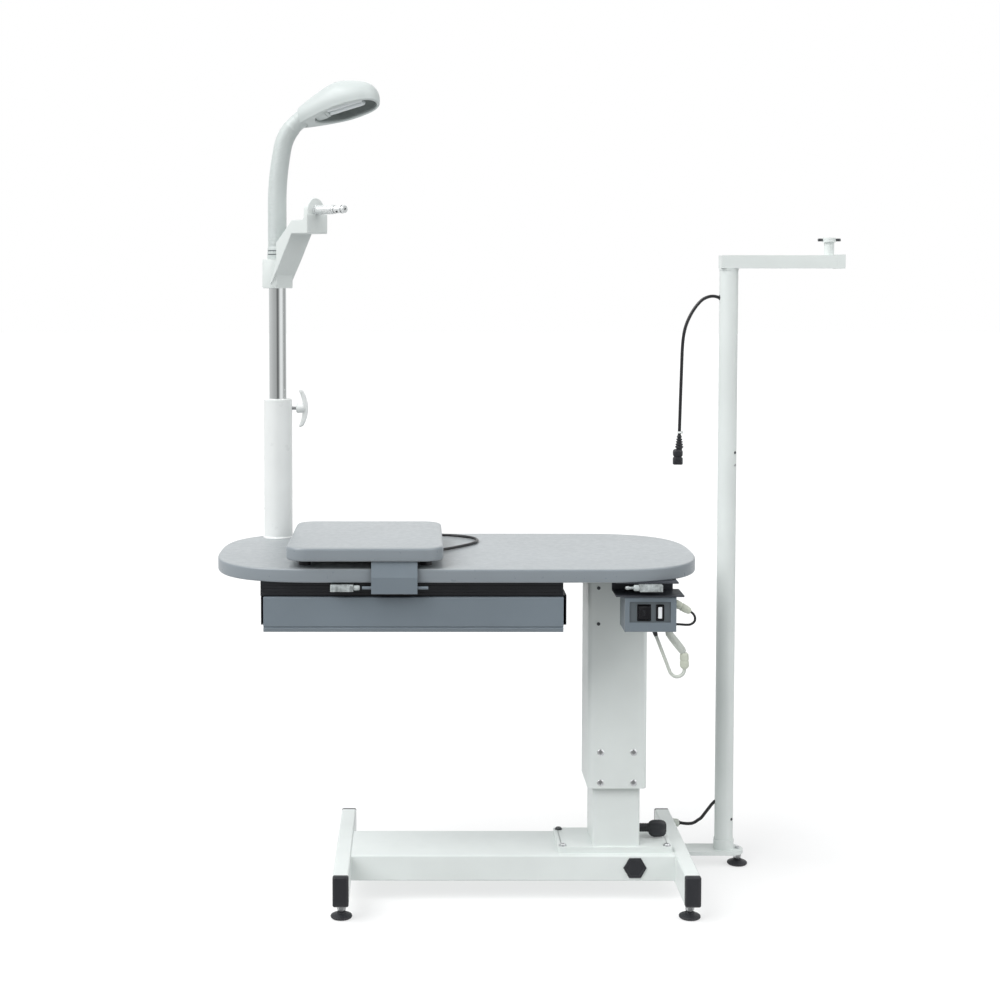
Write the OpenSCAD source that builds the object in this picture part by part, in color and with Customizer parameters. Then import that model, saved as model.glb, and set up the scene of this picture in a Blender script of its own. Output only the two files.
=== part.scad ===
// Height-adjustable ophthalmic instrument table with a sliding instrument tray, a refraction
// stand with an examination lamp, and a projector stand.
// Millimetres. +Z is up, +X is to the operator's right, the front of the table faces -Y.
// The origin is on the floor, at the middle of the overall plan.

/* [Base] */
// Overall width over the two foot tubes
base_w = 731; // [700:1:760]
// Length of each foot tube, caps included
foot_l = 450; // [430:2:470]
// Width of a foot tube
foot_w = 32; // [28:1:36]
// Height of a foot tube
foot_h = 62; // [56:1:66]
// Height of a foot tube's underside above the floor
foot_lift = 36; // [34:1:40]
// Depth of the cross beam, front to back
beam_d = 160; // [140:2:180]

/* [Column] */
// Width of the outer column
outer_w = 121; // [116:1:126]
// Depth of the outer column
outer_d = 136; // [130:1:142]
// Width of the inner column
inner_w = 98; // [94:1:100]
// Depth of the inner column
inner_d = 112; // [106:1:114]
// Height of the outer column's lower edge above the floor
outer_bottom = 233; // [225:1:250]

/* [Table] */
// Height of the tabletop's surface above the floor
table_h = 715; // [705:1:725]
// Width of the tabletop
table_w = 982; // [960:2:1000]
// Depth of the tabletop
table_d = 478; // [460:2:490]
// Thickness of the tabletop
table_t = 27; // [24:1:30]

/* [Tray] */
// Width of the instrument tray
tray_w = 309; // [290:1:320]
// Depth of the instrument tray
tray_d = 379; // [360:1:385]
// Thickness of the instrument tray
tray_t = 27; // [20:1:30]
// Gap between the tabletop and the tray
tray_gap = 16; // [15:1:18]

/* [Refraction stand] */
// Diameter of the white outer pole
pole_d = 62; // [58:1:66]
// Height of the outer pole above the tabletop
pole_h = 303; // [290:1:315]
// Diameter of the chrome inner tube
mast_d = 38; // [34:1:40]
// Diameter of the arm's hub
hub_d = 66; // [60:1:70]
// Diameter of the refractor pin
pin_d = 20; // [18:1:22]
// Direction of the arm, in degrees from +X towards the front
arm_turn = 38; // [20:1:60]
// Diameter of the lamp's gooseneck
neck_d = 41; // [36:1:42]

/* [Projector stand] */
// Diameter of the projector pole
proj_d = 40; // [38:1:42]
// Height of the underside of the projector arm
proj_arm_z = 1304; // [1250:1:1350]
// Height of the joint between the two pole sections
proj_joint_z = 894; // [850:1:930]
// Diameter of the post on the projector arm
post_d = 21; // [18:1:24]

/* [Hidden] */
$fn = 48;

// Clearances: a running shaft, and parts that pass each other
run = 0.05;
gap = 0.35;

// Plan positions
base_x = -56;
base_y = 2;
foot_x = base_w / 2 - foot_w / 2;
column_x = base_x + 214;
column_y = base_y - 12;
foot_top = foot_lift + foot_h;
beam_z = 43;
beam_top = foot_top - 1;
plate_w = 238;
plate_d = 128;
plate_t = 12;
plate_top = beam_top + plate_t;
leveller_y = 180;
cap_t = 12;
wall = 3;

// Column
column_wall = 4;
inner_top = 560;
mount_t = 6;
table_under = table_h - table_t;
mount_z = table_under - mount_t;
pad_z = outer_bottom + 8;
pad_h = 74;
screw_dx = 34;
screw_low = 12;
screw_high = 75;
rod_y = column_y - 22;
rod_r = 10;
rod_bottom = 270;
housing_r = 22;
housing_top = 430;
housing_floor = 185;
knob_z = 130;
knob_x = column_x + inner_w / 2;

// Table
table_x = -173;
end_reach = 230;
end_power = 2.8;
end_steps = 14;
rail_x = [-561, 33];
rail_y = -223;
rail_d = 30;
rail_h = 28;
rail_z = table_under - rail_h;
catch_z = rail_z + 11;
catch_h = 14;
catch_y = -248;
carcass_x = [-561, 40];
carcass_back = 66;
carcass_z = 601;
drawer_z = [589, 658];
drawer_x = [-555, 33];
drawer_front_y = -231;
drawer_front_t = 15;
drawer_back = 58;
carcass_front = drawer_front_y + drawer_front_t + 0.5;
box_x = [154, 255];
box_z = [588, 658];
box_y = [-224, -144];
shelf_x = [136, 270];
panel_x = [163, 244];
panel_z = [607, 648];
panel_y = box_y[0] + 2;
rocker_z = 626.5;
rocker_y = box_y[0] + 7;
wide_x = 191.5;
slim_x = 223;
lead_y = -190;

// Tray
tray_x = -356.5;
tray_y = -248 + tray_d / 2;
tray_z = table_h + tray_gap;
tray_r = 40;
bracket_x = [-343, -253];
bracket_front = -251;
bracket_rear = 251;
bracket_t = 3;
striker_z = 679;
striker_y = -243;
clamp_block = [-262, -52];
cable_y = 196;

// Refraction stand
pole_x = -558;
pole_y = 183;
pole_top = table_h + pole_h;
mast_bottom = 860;
hub_z = 1261;
hub_h = 63;
hub_top = hub_z + hub_h;
mast_top = hub_top - 9;
handle_z = pole_top - 19;
crank_z = [1385, 1378, 1407];
crank_d = [51, 71, 116];
lug_z = 1427;
lug_r = 27;
pin_z = 1428;
collar_h = 27;
lean_z = 1441;
lean_r = 600;
lean_a = 12;
bend_r = 92;
bend_a = 58;
bend_x = lean_r * (1 - cos(lean_a)) + bend_r * cos(lean_a);
bend_z = lean_z + (lean_r - bend_r) * sin(lean_a);
head_turn = 15;
head_tilt = 15;
head_roll = 17;
head_x = bend_x - bend_r * cos(bend_a);
head_z = bend_z + bend_r * sin(bend_a);
ball_r = 20;

// Projector stand
proj_x = 418;
proj_y = 140;
proj_top = proj_arm_z - 4;
proj_arm_h = 28;
proj_arm_w = 40;
proj_end_x = 664;
proj_start_x = 399;
post_x = 633;
arm_plate_t = 8;
arm_plate_w = 58;
arm_foot_x = 448;
gland_y = 180;
gland_z = 79;
cord_r = 3.5;
tie_z = 948;

// Cord routes, through the middle of each cord
hanging_route = [[398, 140, 1241], [387, 140, 1244], [375, 140, 1243], [362, 140, 1237],
    [351, 140, 1226], [341, 140, 1212], [332, 140, 1195], [325, 140, 1176], [321, 140, 1155],
    [319, 140, 1130], [318, 140, 1098], [317, 140, 1062], [316, 140, 1025], [315, 140, 985],
    [314, 140, 944]];
foot_route = [[329, 180, 79], [336, 179, 78], [343, 177, 78], [349, 174, 79], [355, 171, 81],
    [361, 168, 85], [366, 165, 90], [371, 161, 95], [375, 158, 101], [379, 155, 108],
    [383, 152, 115], [387, 149, 122], [391, 146, 129], [395, 143, 135], [398.5, 140, 140]];
tray_route = [[-253, 196, 718.5], [-238, 196, 718.5], [-218, 195, 718.5], [-195, 191, 718.5],
    [-172, 183, 718.5], [-150, 169, 718.5], [-133, 149, 718.5], [-124, 122, 718.5],
    [-127, 93, 718.5], [-139, 65, 718.5], [-157, 37, 718.5], [-179, 9, 718.5],
    [-201, -14, 718.5], [-225, -32, 718.5], [-250, -42, 718.5]];
side_route = [[288, -190, 622], [291, -190, 620], [294, -190, 617], [296, -190, 613.5],
    [297, -190, 610], [297, -190, 606.5], [296, -190, 603], [293.5, -190, 600],
    [290.5, -190, 598], [287, -190, 596.5], [283, -190, 596], [278, -190, 596],
    [271, -190, 596.5], [264, -190, 597], [257, -190, 597]];
bottom_route = [[220, -190, 574], [223, -190, 566.3], [226, -190, 558.6], [229.2, -190, 550.4],
    [232.4, -190, 542.2], [235.6, -190, 534], [239, -190, 525.2], [242.3, -190, 516.8],
    [245.4, -190, 508.4], [249, -190, 500.2], [253.6, -190, 495], [259.4, -190, 492.3],
    [265.9, -190, 492.5], [271.6, -190, 495.6], [275.6, -190, 500.8], [277, -190, 508]];

white = [0.88, 0.9, 0.89];
pale = [0.78, 0.8, 0.81];
grey = [0.5, 0.54, 0.58];
dark = [0.1, 0.1, 0.11];
black = [0.05, 0.05, 0.05];
steel = [0.75, 0.76, 0.78];
cream = [0.86, 0.86, 0.76];
sage = [0.72, 0.76, 0.74];

// ---- Shared shapes ----

// A rectangle with round corners, centred on the origin
module round_rect(w, d, r) {
    square([w - 2 * r, d], center = true);
    square([w, d - 2 * r], center = true);
    for (sx = [-1, 1], sy = [-1, 1])
        translate([sx * (w / 2 - r), sy * (d / 2 - r)]) circle(r);
}

// A rectangular tube standing on the origin, centred in plan
module box_tube(w, d, h, t, r) {
    linear_extrude(h) difference() {
        round_rect(w, d, r);
        round_rect(w - 2 * t, d - 2 * t, max(r - t, 1));
    }
}

// A block given by its low and high corners
module block(low, high) {
    translate(low) cube(high - low);
}

// A profile drawn as [y, z] points, drawn out along +X from x0 to x1
module along_x(x0, x1) {
    translate([x0, 0, 0]) rotate([90, 0, 90]) linear_extrude(x1 - x0) children();
}

// A round bar between two points
module bar(from, to, r) {
    v = to - from;
    translate(from) rotate([0, acos(v[2] / norm(v)), atan2(v[1], v[0])]) cylinder(r = r, h = norm(v));
}

// A round tube standing on the origin
module pipe(d, bore, h) {
    difference() {
        cylinder(d = d, h = h);
        translate([0, 0, -1]) cylinder(d = bore, h = h + 2);
    }
}

function unit(v) = v / norm(v);

// A point between b and c on the smooth curve through a, b, c and d
function between(a, b, c, d, t) = 0.5 * ((2 * b) + (c - a) * t + (2 * a - 5 * b + 4 * c - d) * t * t
    + (3 * b - a - 3 * c + d) * t * t * t);

function last(p) = p[len(p) - 1];

function smooth(p, n) = concat([for (i = [0:len(p) - 2], j = [0:n - 1])
    between(p[max(i - 1, 0)], p[i], p[i + 1], p[min(i + 2, len(p) - 1)], j / n)], [last(p)]);

function heading(p, i) = unit(p[min(i + 1, len(p) - 1)] - p[max(i - 1, 0)]);

// The ring of points round point i of a cord
function ring(p, i, r, sides, flat) = let (t = heading(p, i), b = unit(cross(t, flat)), n = cross(b, t))
    [for (k = [0:sides - 1]) p[i] + r * (cos(360 * k / sides) * b + sin(360 * k / sides) * n)];

// A cord swept along a route that lies roughly in the plane with the normal called flat
module cord(route, r, sides, flat, n) {
    p = smooth(route, n);
    points = [for (i = [0:len(p) - 1]) each ring(p, i, r, sides, flat)];
    ends = (len(p) - 1) * sides;
    sides_faces = [for (i = [0:len(p) - 2], k = [0:sides - 1]) let (m = (k + 1) % sides)
        each [[i * sides + k, (i + 1) * sides + k, (i + 1) * sides + m],
            [i * sides + k, (i + 1) * sides + m, i * sides + m]]];
    polyhedron(points, concat(sides_faces, [[for (k = [0:sides - 1]) k]],
        [[for (k = [sides - 1:-1:0]) ends + k]]));
}

// ---- Base ----

module foot_tube(x) {
    color(white) difference() {
        translate([x, base_y, foot_lift + foot_h / 2]) rotate([90, 0, 0])
            translate([0, 0, cap_t - foot_l / 2]) box_tube(foot_w, foot_h, foot_l - 2 * cap_t, 2, 4);
        for (y = [-leveller_y, leveller_y])
            translate([x, base_y + y, foot_lift - 1]) cylinder(r = 5 + run, h = 5);
        if (x > 0)
            translate([x + foot_w / 2 - 4, gland_y, gland_z]) rotate([0, 90, 0]) cylinder(r = 6, h = 6);
    }
}

module foot_tube_left() { foot_tube(base_x - foot_x); }
module foot_tube_right() { foot_tube(base_x + foot_x); }

module foot_caps() {
    color(black) for (sx = [-1, 1], sy = [-1, 1])
        translate([base_x + sx * foot_x, base_y + sy * foot_l / 2, foot_lift + foot_h / 2])
            rotate([90 * sy, 0, 0]) {
                linear_extrude(cap_t) round_rect(foot_w, foot_h, 4);
                translate([0, 0, cap_t]) linear_extrude(15) round_rect(foot_w - 4.4, foot_h - 4.4, 2);
            }
}

module base_beam() {
    inside = foot_x - foot_w / 2;
    color(white) translate([base_x - inside, column_y, (beam_z + beam_top) / 2]) rotate([90, 0, 90])
        box_tube(beam_d, beam_top - beam_z, 2 * inside, wall, 4);
}

module beam_plug() {
    color(black) translate([base_x + 250.5, column_y - beam_d / 2, (beam_z + beam_top) / 2 + 1])
        rotate([90, 0, 0]) cylinder(r1 = 24, r2 = 22, h = 3, $fn = 6);
}

module base_plate() {
    color(white) difference() {
        translate([column_x - 2, column_y, beam_top]) linear_extrude(plate_t) round_rect(plate_w, plate_d, 6);
        for (sx = [-1, 1], sy = [-1, 1])
            translate([column_x - 2 + sx * 108, column_y + sy * 53, beam_top - 1]) cylinder(r = 4.2, h = plate_t + 2);
    }
}

// Screws of the base plate, and of the projector pole's two joints
module base_screws() {
    color(steel) {
        for (sx = [-1, 1], sy = [-1, 1])
            translate([column_x - 2 + sx * 108, column_y + sy * 53, plate_top]) {
                translate([0, 0, -plate_t]) cylinder(r = 4, h = plate_t);
                difference() {
                    cylinder(r = 6.5, h = 4);
                    translate([0, 0, 2]) cylinder(r = 3, h = 3, $fn = 6);
                }
            }
        for (z = [104, 880, 907])
            translate([proj_x, proj_y, z]) rotate([90, 0, 45]) translate([0, 0, proj_d / 2])
                cylinder(r = 3, h = 1.2);
    }
}

module inner_column() {
    color(white) difference() {
        translate([column_x, column_y, plate_top]) box_tube(inner_w, inner_d, inner_top - plate_top, wall, 6);
        translate([knob_x - 5, column_y, knob_z]) rotate([0, 90, 0]) cylinder(r = 4 + run, h = 8);
    }
}

// Linear actuator: geared foot, motor beside the rod housing
module actuator_housing() {
    color(dark) difference() {
        union() {
            translate([column_x, rod_y, plate_top]) cylinder(r = housing_r, h = housing_top - plate_top);
            translate([column_x, rod_y + 44, plate_top]) cylinder(r = 19, h = 170);
            block([column_x - 21, rod_y, plate_top], [column_x + 21, rod_y + 44, plate_top + 34]);
        }
        translate([column_x, rod_y, housing_floor]) cylinder(r = rod_r + run, h = housing_top - housing_floor + 1);
    }
}

module leveller(x, y, top) {
    translate([x, y, 0]) {
        color(black) cylinder(r1 = 22, r2 = 20, h = 9);
        color(steel) {
            translate([0, 0, 9]) cylinder(r = 5, h = top - 9);
            translate([0, 0, 16]) cylinder(r = 9, h = 8, $fn = 6);
        }
    }
}

module leveller_front_left() { leveller(base_x - foot_x, base_y - leveller_y, 54); }
module leveller_rear_left() { leveller(base_x - foot_x, base_y + leveller_y, 54); }
module leveller_front_right() { leveller(base_x + foot_x, base_y - leveller_y, 54); }
module leveller_rear_right() { leveller(base_x + foot_x, base_y + leveller_y, 54); }
module leveller_arm() { leveller(arm_foot_x, proj_y, foot_lift + 5); }

// Three-lobed lock knob on its sleeve and stud
module column_knob() {
    color(black) translate([knob_x, column_y, knob_z]) rotate([0, 90, 0]) {
        translate([0, 0, -6]) cylinder(r = 4, h = 7);
        translate([0, 0, gap]) cylinder(r = 9, h = 26);
        translate([0, 0, 26]) {
            cylinder(r = 13, h = 37);
            for (a = [0, 120, 240])
                rotate([0, 0, a]) translate([11.5, 0, 2]) cylinder(r = 8.5, h = 33);
        }
    }
}

// ---- Lifting column ----

module outer_column() {
    color(white) difference() {
        translate([column_x, column_y, outer_bottom])
            box_tube(outer_w, outer_d, mount_z - outer_bottom, column_wall, 9);
        for (sx = [-1, 1], z = [screw_low, screw_high])
            translate([column_x + sx * screw_dx, column_y - outer_d / 2 - 1, outer_bottom + z])
                rotate([-90, 0, 0]) cylinder(r = 3 + run, h = column_wall + 2);
    }
}

module column_screws() {
    color(steel) {
        for (sx = [-1, 1], z = [screw_low, screw_high])
            translate([column_x + sx * screw_dx, column_y - outer_d / 2, outer_bottom + z]) rotate([90, 0, 0]) {
                difference() {
                    cylinder(r1 = 7, r2 = 6, h = 1.8);
                    translate([0, 0, 0.6]) cylinder(r = 2.8, h = 3, $fn = 6);
                }
                translate([0, 0, -column_wall]) cylinder(r = 3, h = column_wall);
            }
        for (z = [575, 649])
            translate([column_x - 40, column_y - outer_d / 2, z]) rotate([90, 0, 0]) cylinder(r = 3.6, h = 1);
    }
}

module guide_pads() {
    y_out = outer_d / 2 - column_wall;
    x_out = outer_w / 2 - column_wall;
    color(cream) for (s = [-1, 1]) {
        translate([column_x, column_y, pad_z]) {
            scale([1, s, 1]) block([-40, inner_d / 2 + gap, 0], [40, y_out, pad_h]);
            scale([s, 1, 1]) block([inner_w / 2 + gap, -40, 0], [x_out, 40, pad_h]);
        }
    }
}

module actuator_rod() {
    color(steel) translate([column_x, rod_y, rod_bottom]) cylinder(r = rod_r, h = mount_z - rod_bottom);
}

module mount_plate() {
    color(dark) translate([column_x, column_y, mount_z]) linear_extrude(mount_t) round_rect(200, 200, 8);
}

// ---- Table ----

// A quarter of the rounded end, as [reach along the table, half depth] points
function end_point(a) = [end_reach * pow(cos(a), 2 / end_power), table_d / 2 * pow(sin(a), 2 / end_power)];

function table_outline() = let (s = table_w / 2 - end_reach) concat(
    [for (i = [0:end_steps]) let (p = end_point(90 * i / end_steps)) [s + p[0], p[1]]],
    [for (i = [end_steps:-1:0]) let (p = end_point(90 * i / end_steps)) [-s - p[0], p[1]]],
    [for (i = [1:end_steps]) let (p = end_point(90 * i / end_steps)) [-s - p[0], -p[1]]],
    [for (i = [end_steps:-1:1]) let (p = end_point(90 * i / end_steps)) [s + p[0], -p[1]]]);

module tabletop() {
    color(pale) translate([table_x, 0, table_under]) linear_extrude(table_t) polygon(table_outline());
}

module front_rail() {
    color(black) difference() {
        block([rail_x[0], rail_y, rail_z], [rail_x[1], rail_y + rail_d, table_under]);
        for (z = [6, 13, 20])
            block([rail_x[0] - 1, rail_y - 1, rail_z + z], [rail_x[1] + 1, rail_y + 1.2, rail_z + z + 1.6]);
    }
}

// Travel stops of the tray: body, roller and, on the right, its plunger
module roller_catches() {
    color(cream) {
        block([-423, catch_y, catch_z], [-378, rail_y, catch_z + catch_h]);
        bar([-378, striker_y, striker_z], [-365, striker_y, striker_z], 5);
        block([180, catch_y, catch_z], [225, rail_y, catch_z + catch_h]);
        bar([168, striker_y, striker_z], [180, striker_y, striker_z], 6);
        bar([152, striker_y, striker_z], [168, striker_y, striker_z], 3.5);
    }
}

// Folded steel housing of the drawer: top, sides with an inward flange, and a hanger at the back
module drawer_carcass() {
    x0 = carcass_x[0];
    x1 = carcass_x[1];
    color(black) {
        block([x0, carcass_front, rail_z - 2], [x1, carcass_back, rail_z]);
        for (x = [x0, x1 - 2])
            block([x, carcass_front, carcass_z], [x + 2, carcass_back, rail_z - 1]);
        for (x = [x0, x1 - 12])
            block([x, carcass_front, carcass_z], [x + 12, carcass_back, carcass_z + 2]);
        block([x0, carcass_back - 2, carcass_z], [x1, carcass_back, rail_z]);
        for (x = [x0 + 20, x1 - 60])
            block([x, carcass_back - 32, rail_z], [x + 40, carcass_back - 2, table_under]);
    }
}

module drawer_front() {
    y0 = drawer_front_y;
    y1 = y0 + drawer_front_t;
    color(grey) along_x(drawer_x[0], drawer_x[1]) polygon([[y1, drawer_z[0]], [y1, drawer_z[1]],
        [y0 + 1, drawer_z[1]], [y0, drawer_z[1] - 1], [y0, drawer_z[0] + 12], [y0 + 2.5, drawer_z[0] + 9.5],
        [y0, drawer_z[0] + 8], [y0 + 3, drawer_z[0]]]);
}

module drawer_box() {
    y0 = drawer_front_y + drawer_front_t;
    low = [drawer_x[0] + 2, y0, carcass_z + 2.5];
    high = [drawer_x[1] + 1, drawer_back, 652];
    color(grey) difference() {
        block(low, high);
        block(low + [2, 2, 2], high + [-2, -2, 1]);
    }
}

// ---- Control box ----

// Shelf that hangs from the tabletop and is open at the front
module switch_bracket() {
    z0 = box_z[1];
    color(black) difference() {
        along_x(shelf_x[0], shelf_x[1]) polygon([[-227, z0], [-152, z0], [-152, table_under],
            [-231, table_under], [-231, table_under - 3], [-155, table_under - 3], [-155, z0 + 3], [-227, z0 + 3]]);
        block([shelf_x[1] - 12, -240, z0 + 3], [shelf_x[1] + 1, -140, table_under + 1]);
    }
}

module control_box() {
    color(grey) difference() {
        along_x(box_x[0], box_x[1]) translate([(box_y[0] + box_y[1]) / 2, (box_z[0] + box_z[1]) / 2])
            round_rect(box_y[1] - box_y[0], box_z[1] - box_z[0], 3);
        block([box_x[0] + 2.5, box_y[0] + 5, box_z[0] + 2.5], [box_x[1] - 2.5, box_y[1] - 2.5, box_z[1] - 2.5]);
        block([panel_x[0], box_y[0] - 1, panel_z[0]], [panel_x[1], box_y[0] + 6, panel_z[1]]);
    }
}

// Panel with the raised surrounds of the two rockers
module control_panel() {
    mid = rocker_z - (panel_z[0] + panel_z[1]) / 2;
    color(dark) difference() {
        union() {
            block([panel_x[0], panel_y, panel_z[0]] + [run, 0, run], [panel_x[1], panel_y + 3, panel_z[1]] - [run, 0, run]);
            block([wide_x - 13.5, panel_y - 1.4, rocker_z - 16.5], [wide_x + 13.5, panel_y, rocker_z + 16.5]);
            block([slim_x - 8, panel_y - 1.4, rocker_z - 16.2], [slim_x + 8, panel_y, rocker_z + 16.2]);
        }
        block([wide_x - 11.3, panel_y - 3, rocker_z - 15], [wide_x + 11.3, panel_y + 5, rocker_z + 15]);
        block([slim_x - 6, panel_y - 3, rocker_z - 15], [slim_x + 6, panel_y + 5, rocker_z + 15]);
    }
}

module rocker(x, w) {
    color(black) along_x(x - w / 2, x + w / 2) translate([rocker_y, rocker_z])
        polygon([[-8, -13.6], [-6.6, 0], [-8, 13.6], [-5, 13.6], [2, 6], [2, -6], [-5, -13.6]]);
}

module height_switch() { rocker(wide_x, 21.6); }
module power_switch() { rocker(slim_x, 11.2); }

// Mains inlet connector at the side, strain relief below, and the in-line connector with its sleeve
module box_connectors() {
    color(cream) {
        bar([box_x[1], lead_y, 640], [box_x[1] + 3, lead_y, 640], 9);
        bar([box_x[1] + 3, lead_y, 639], [288, lead_y, 622], 8);
        bar([277, lead_y, 508], [276, lead_y, 540], 9);
        bar([276, lead_y, 540], [246, lead_y, 578], 8);
        bar([246, lead_y, 574], [246, lead_y, box_z[0]], 8);
    }
    color(black) {
        bar([216, lead_y, box_z[0]], [216, lead_y, box_z[0] - 3], 6);
        bar([216, lead_y, box_z[0] - 3], [220, lead_y, 574], 4.6);
        bar([box_x[1], lead_y, 597], [box_x[1] + 2, lead_y, 597], 5);
    }
}

module box_lead_side() { color(black) cord(side_route, 2.4, 8, [0, 1, 0], 1); }
module box_lead_bottom() { color(sage) cord(bottom_route, 3.5, 8, [0, 1, 0], 1); }

// ---- Instrument tray ----

module tray_plate() {
    color(pale) {
        translate([tray_x, tray_y, tray_z]) linear_extrude(tray_t) round_rect(tray_w, tray_d, tray_r);
        block([clamp_block[0], clamp_block[1], table_h + 1], [clamp_block[0] + 12, clamp_block[1] + 20, tray_z]);
    }
}

// Hook round the table's front edge, with the two striker pins that meet the catches
module tray_bracket_front() {
    f = bracket_front;
    t = bracket_t;
    color(grey) along_x(bracket_x[0], bracket_x[1]) polygon([[-200, tray_z], [f + 9, tray_z], [f, 700],
        [f, 668], [-226, 668], [-226, 668 + t], [f + t, 668 + t], [f + t, 700], [f + 9 + t, tray_z - t],
        [-200, tray_z - t]]);
    color(cream) for (x = [[-361, bracket_x[0]], [bracket_x[1], -232]])
        bar([x[0], striker_y, striker_z], [x[1], striker_y, striker_z], 3);
}

// Hook round the table's rear edge, with the clip that holds one end of the tray's cable
module tray_bracket_rear() {
    r = bracket_rear;
    t = bracket_t;
    color(grey) along_x(bracket_x[0], bracket_x[1]) polygon([[60, tray_z], [r, tray_z], [r, 668], [222, 668],
        [222, 668 + t], [r - t, 668 + t], [r - t, tray_z - t], [60, tray_z - t]]);
    color(grey) block([bracket_x[1] - 14, cable_y - 8, table_h + 1], [bracket_x[1], cable_y + 8, tray_z - t]);
}

// Nylon pads under the tray's corners and under the table's two edges
module tray_glides() {
    color(black) {
        for (sx = [-1, 1], y = [-185, 45])
            translate([tray_x + sx * 120, y, table_h + gap]) cylinder(r = 12, h = tray_gap - gap);
        for (y = [[-239, -226], [224, 238]])
            block([-325, y[0], 668 + bracket_t], [-271, y[1], table_under - gap]);
    }
}

module tray_cable() { color(black) cord(tray_route, 3, 8, [0, 0, 1], 2); }

// ---- Refraction stand ----

module outer_pole() {
    color(white) difference() {
        translate([pole_x, pole_y, table_h]) pipe(pole_d, pole_d - 6, pole_h);
        translate([pole_x + 20, pole_y, handle_z]) rotate([0, 90, 0]) cylinder(r = 4 + run, h = 20);
    }
}

module pole_bushing() {
    color(dark) difference() {
        translate([pole_x, pole_y, pole_top - 50]) pipe(pole_d - 6, mast_d + 2 * run, 52);
        translate([pole_x + 15, pole_y, handle_z]) rotate([0, 90, 0]) cylinder(r = 4 + run, h = 20);
    }
}

module mast_tube() {
    color(steel) translate([pole_x, pole_y, mast_bottom]) pipe(mast_d, mast_d - 4, mast_top - mast_bottom);
}

// Clamp screw with a round hub and a crescent wing
module clamp_handle() {
    color(black) translate([pole_x, pole_y, handle_z]) {
        bar([mast_d / 2 + 1, 0, 0], [46, 0, 0], 4);
        bar([40, 0, 0], [55, 0, 0], 11);
        intersection() {
            translate([-9, -5, 0]) rotate([-90, 0, 0]) difference() {
                cylinder(r = 75, h = 10);
                translate([-27, 0, -1]) cylinder(r = 90, h = 12);
            }
            block([40, -6, -42], [70, 6, 42]);
        }
    }
}

// Cranked arm: hub, rising crank, level end block and the round-topped lug that carries the pin.
// The crank's profile is drawn as [distance from the hub's axis, height] points.
module phoropter_arm() {
    color(white) translate([pole_x, pole_y, 0]) rotate([0, 0, -arm_turn]) difference() {
        union() {
            difference() {
                translate([0, 0, hub_z]) cylinder(d = hub_d, h = hub_h);
                // Flat below the crank, so that the crank's lower face runs on over the hub
                translate([0, hub_d, 0]) rotate([90, 0, 0]) linear_extrude(2 * hub_d) polygon([[21.5, hub_z - 10],
                    [21.5, hub_z + 29.7], [crank_d[1], crank_z[1] + 0.8], [crank_d[2], crank_z[1]],
                    [crank_d[2], hub_z - 10]]);
            }
            translate([0, hub_d / 2, 0]) rotate([90, 0, 0]) linear_extrude(hub_d) polygon([[8, hub_z + 5],
                [crank_d[1], crank_z[1]], [crank_d[2], crank_z[1]], [crank_d[2], crank_z[2] + 12],
                [crank_d[2] - 4, crank_z[2] + 12], [crank_d[2] - 15, crank_z[2]], [crank_d[1], crank_z[2]],
                [crank_d[0], crank_z[0]], [26, crank_z[0] - 26], [26, hub_top], [8, hub_top]]);
            translate([crank_d[2] - 16, 0, lug_z]) rotate([0, 90, 0]) cylinder(r = lug_r, h = 13);
            block([crank_d[2] - 16, -lug_r, crank_z[2] - 5], [crank_d[2] - 3, lug_r, lug_z]);
        }
        translate([0, 0, hub_z - 1]) cylinder(d = mast_d + 2 * run, h = mast_top - hub_z + 1.4);
        translate([0, 0, mast_top]) cylinder(r = 12 + run, h = 20);
        translate([crank_d[2] - 12, 0, pin_z]) rotate([0, 90, 0]) cylinder(r = pin_d / 2, h = 30);
    }
}

module phoropter_pin() {
    color(steel) translate([pole_x, pole_y, pin_z]) rotate([0, 0, -arm_turn]) difference() {
        union() {
            bar([crank_d[2] - 12, 0, 0], [crank_d[2] + 44, 0, 0], pin_d / 2);
            bar([crank_d[2] + 44, 0, 0], [crank_d[2] + 78, 0, 0], pin_d / 2 - 1.5);
        }
        translate([crank_d[2] + 64, 0, 0]) rotate([0, 90, 0]) cylinder(r = 3, h = 20);
    }
}

// Neck of the lamp: collar on the hub, straight length, gentle lean, bend and end ball
module gooseneck() {
    r = neck_d / 2;
    color(sage) translate([pole_x, pole_y, 0]) rotate([0, 0, -head_turn]) {
        translate([0, 0, mast_top + 0.6]) cylinder(r = 12, h = 20);
        difference() {
            translate([0, 0, hub_top + gap]) cylinder(r = r + 2, h = collar_h);
            for (z = [10, 18])
                translate([0, 0, hub_top + z]) difference() {
                    cylinder(r = r + 5, h = 2);
                    cylinder(r = r + 0.5, h = 2);
                }
        }
        translate([0, 0, hub_top + collar_h - 1]) cylinder(r = r, h = lean_z - hub_top - collar_h + 3);
        // The long gentle lean is a little thicker than its neighbours, so that no skins coincide
        translate([lean_r, 0, lean_z]) rotate([90, 0, 0]) rotate([0, 0, 180 - lean_a])
            rotate_extrude(angle = lean_a) translate([lean_r, 0]) circle(r + 0.3);
        translate([bend_x, 0, bend_z]) rotate([90, 0, 0]) rotate([0, 0, 192 - bend_a])
            rotate_extrude(angle = bend_a - lean_a - 11) translate([bend_r, 0]) circle(r);
        translate([bend_x, 0, bend_z]) rotate([90, 0, 0]) rotate([0, 0, 180 - bend_a])
            rotate_extrude(angle = 14) translate([bend_r, 0]) circle(r - 1.5);
        translate([head_x, 0, head_z]) sphere(ball_r - 0.5);
    }
}

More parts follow.
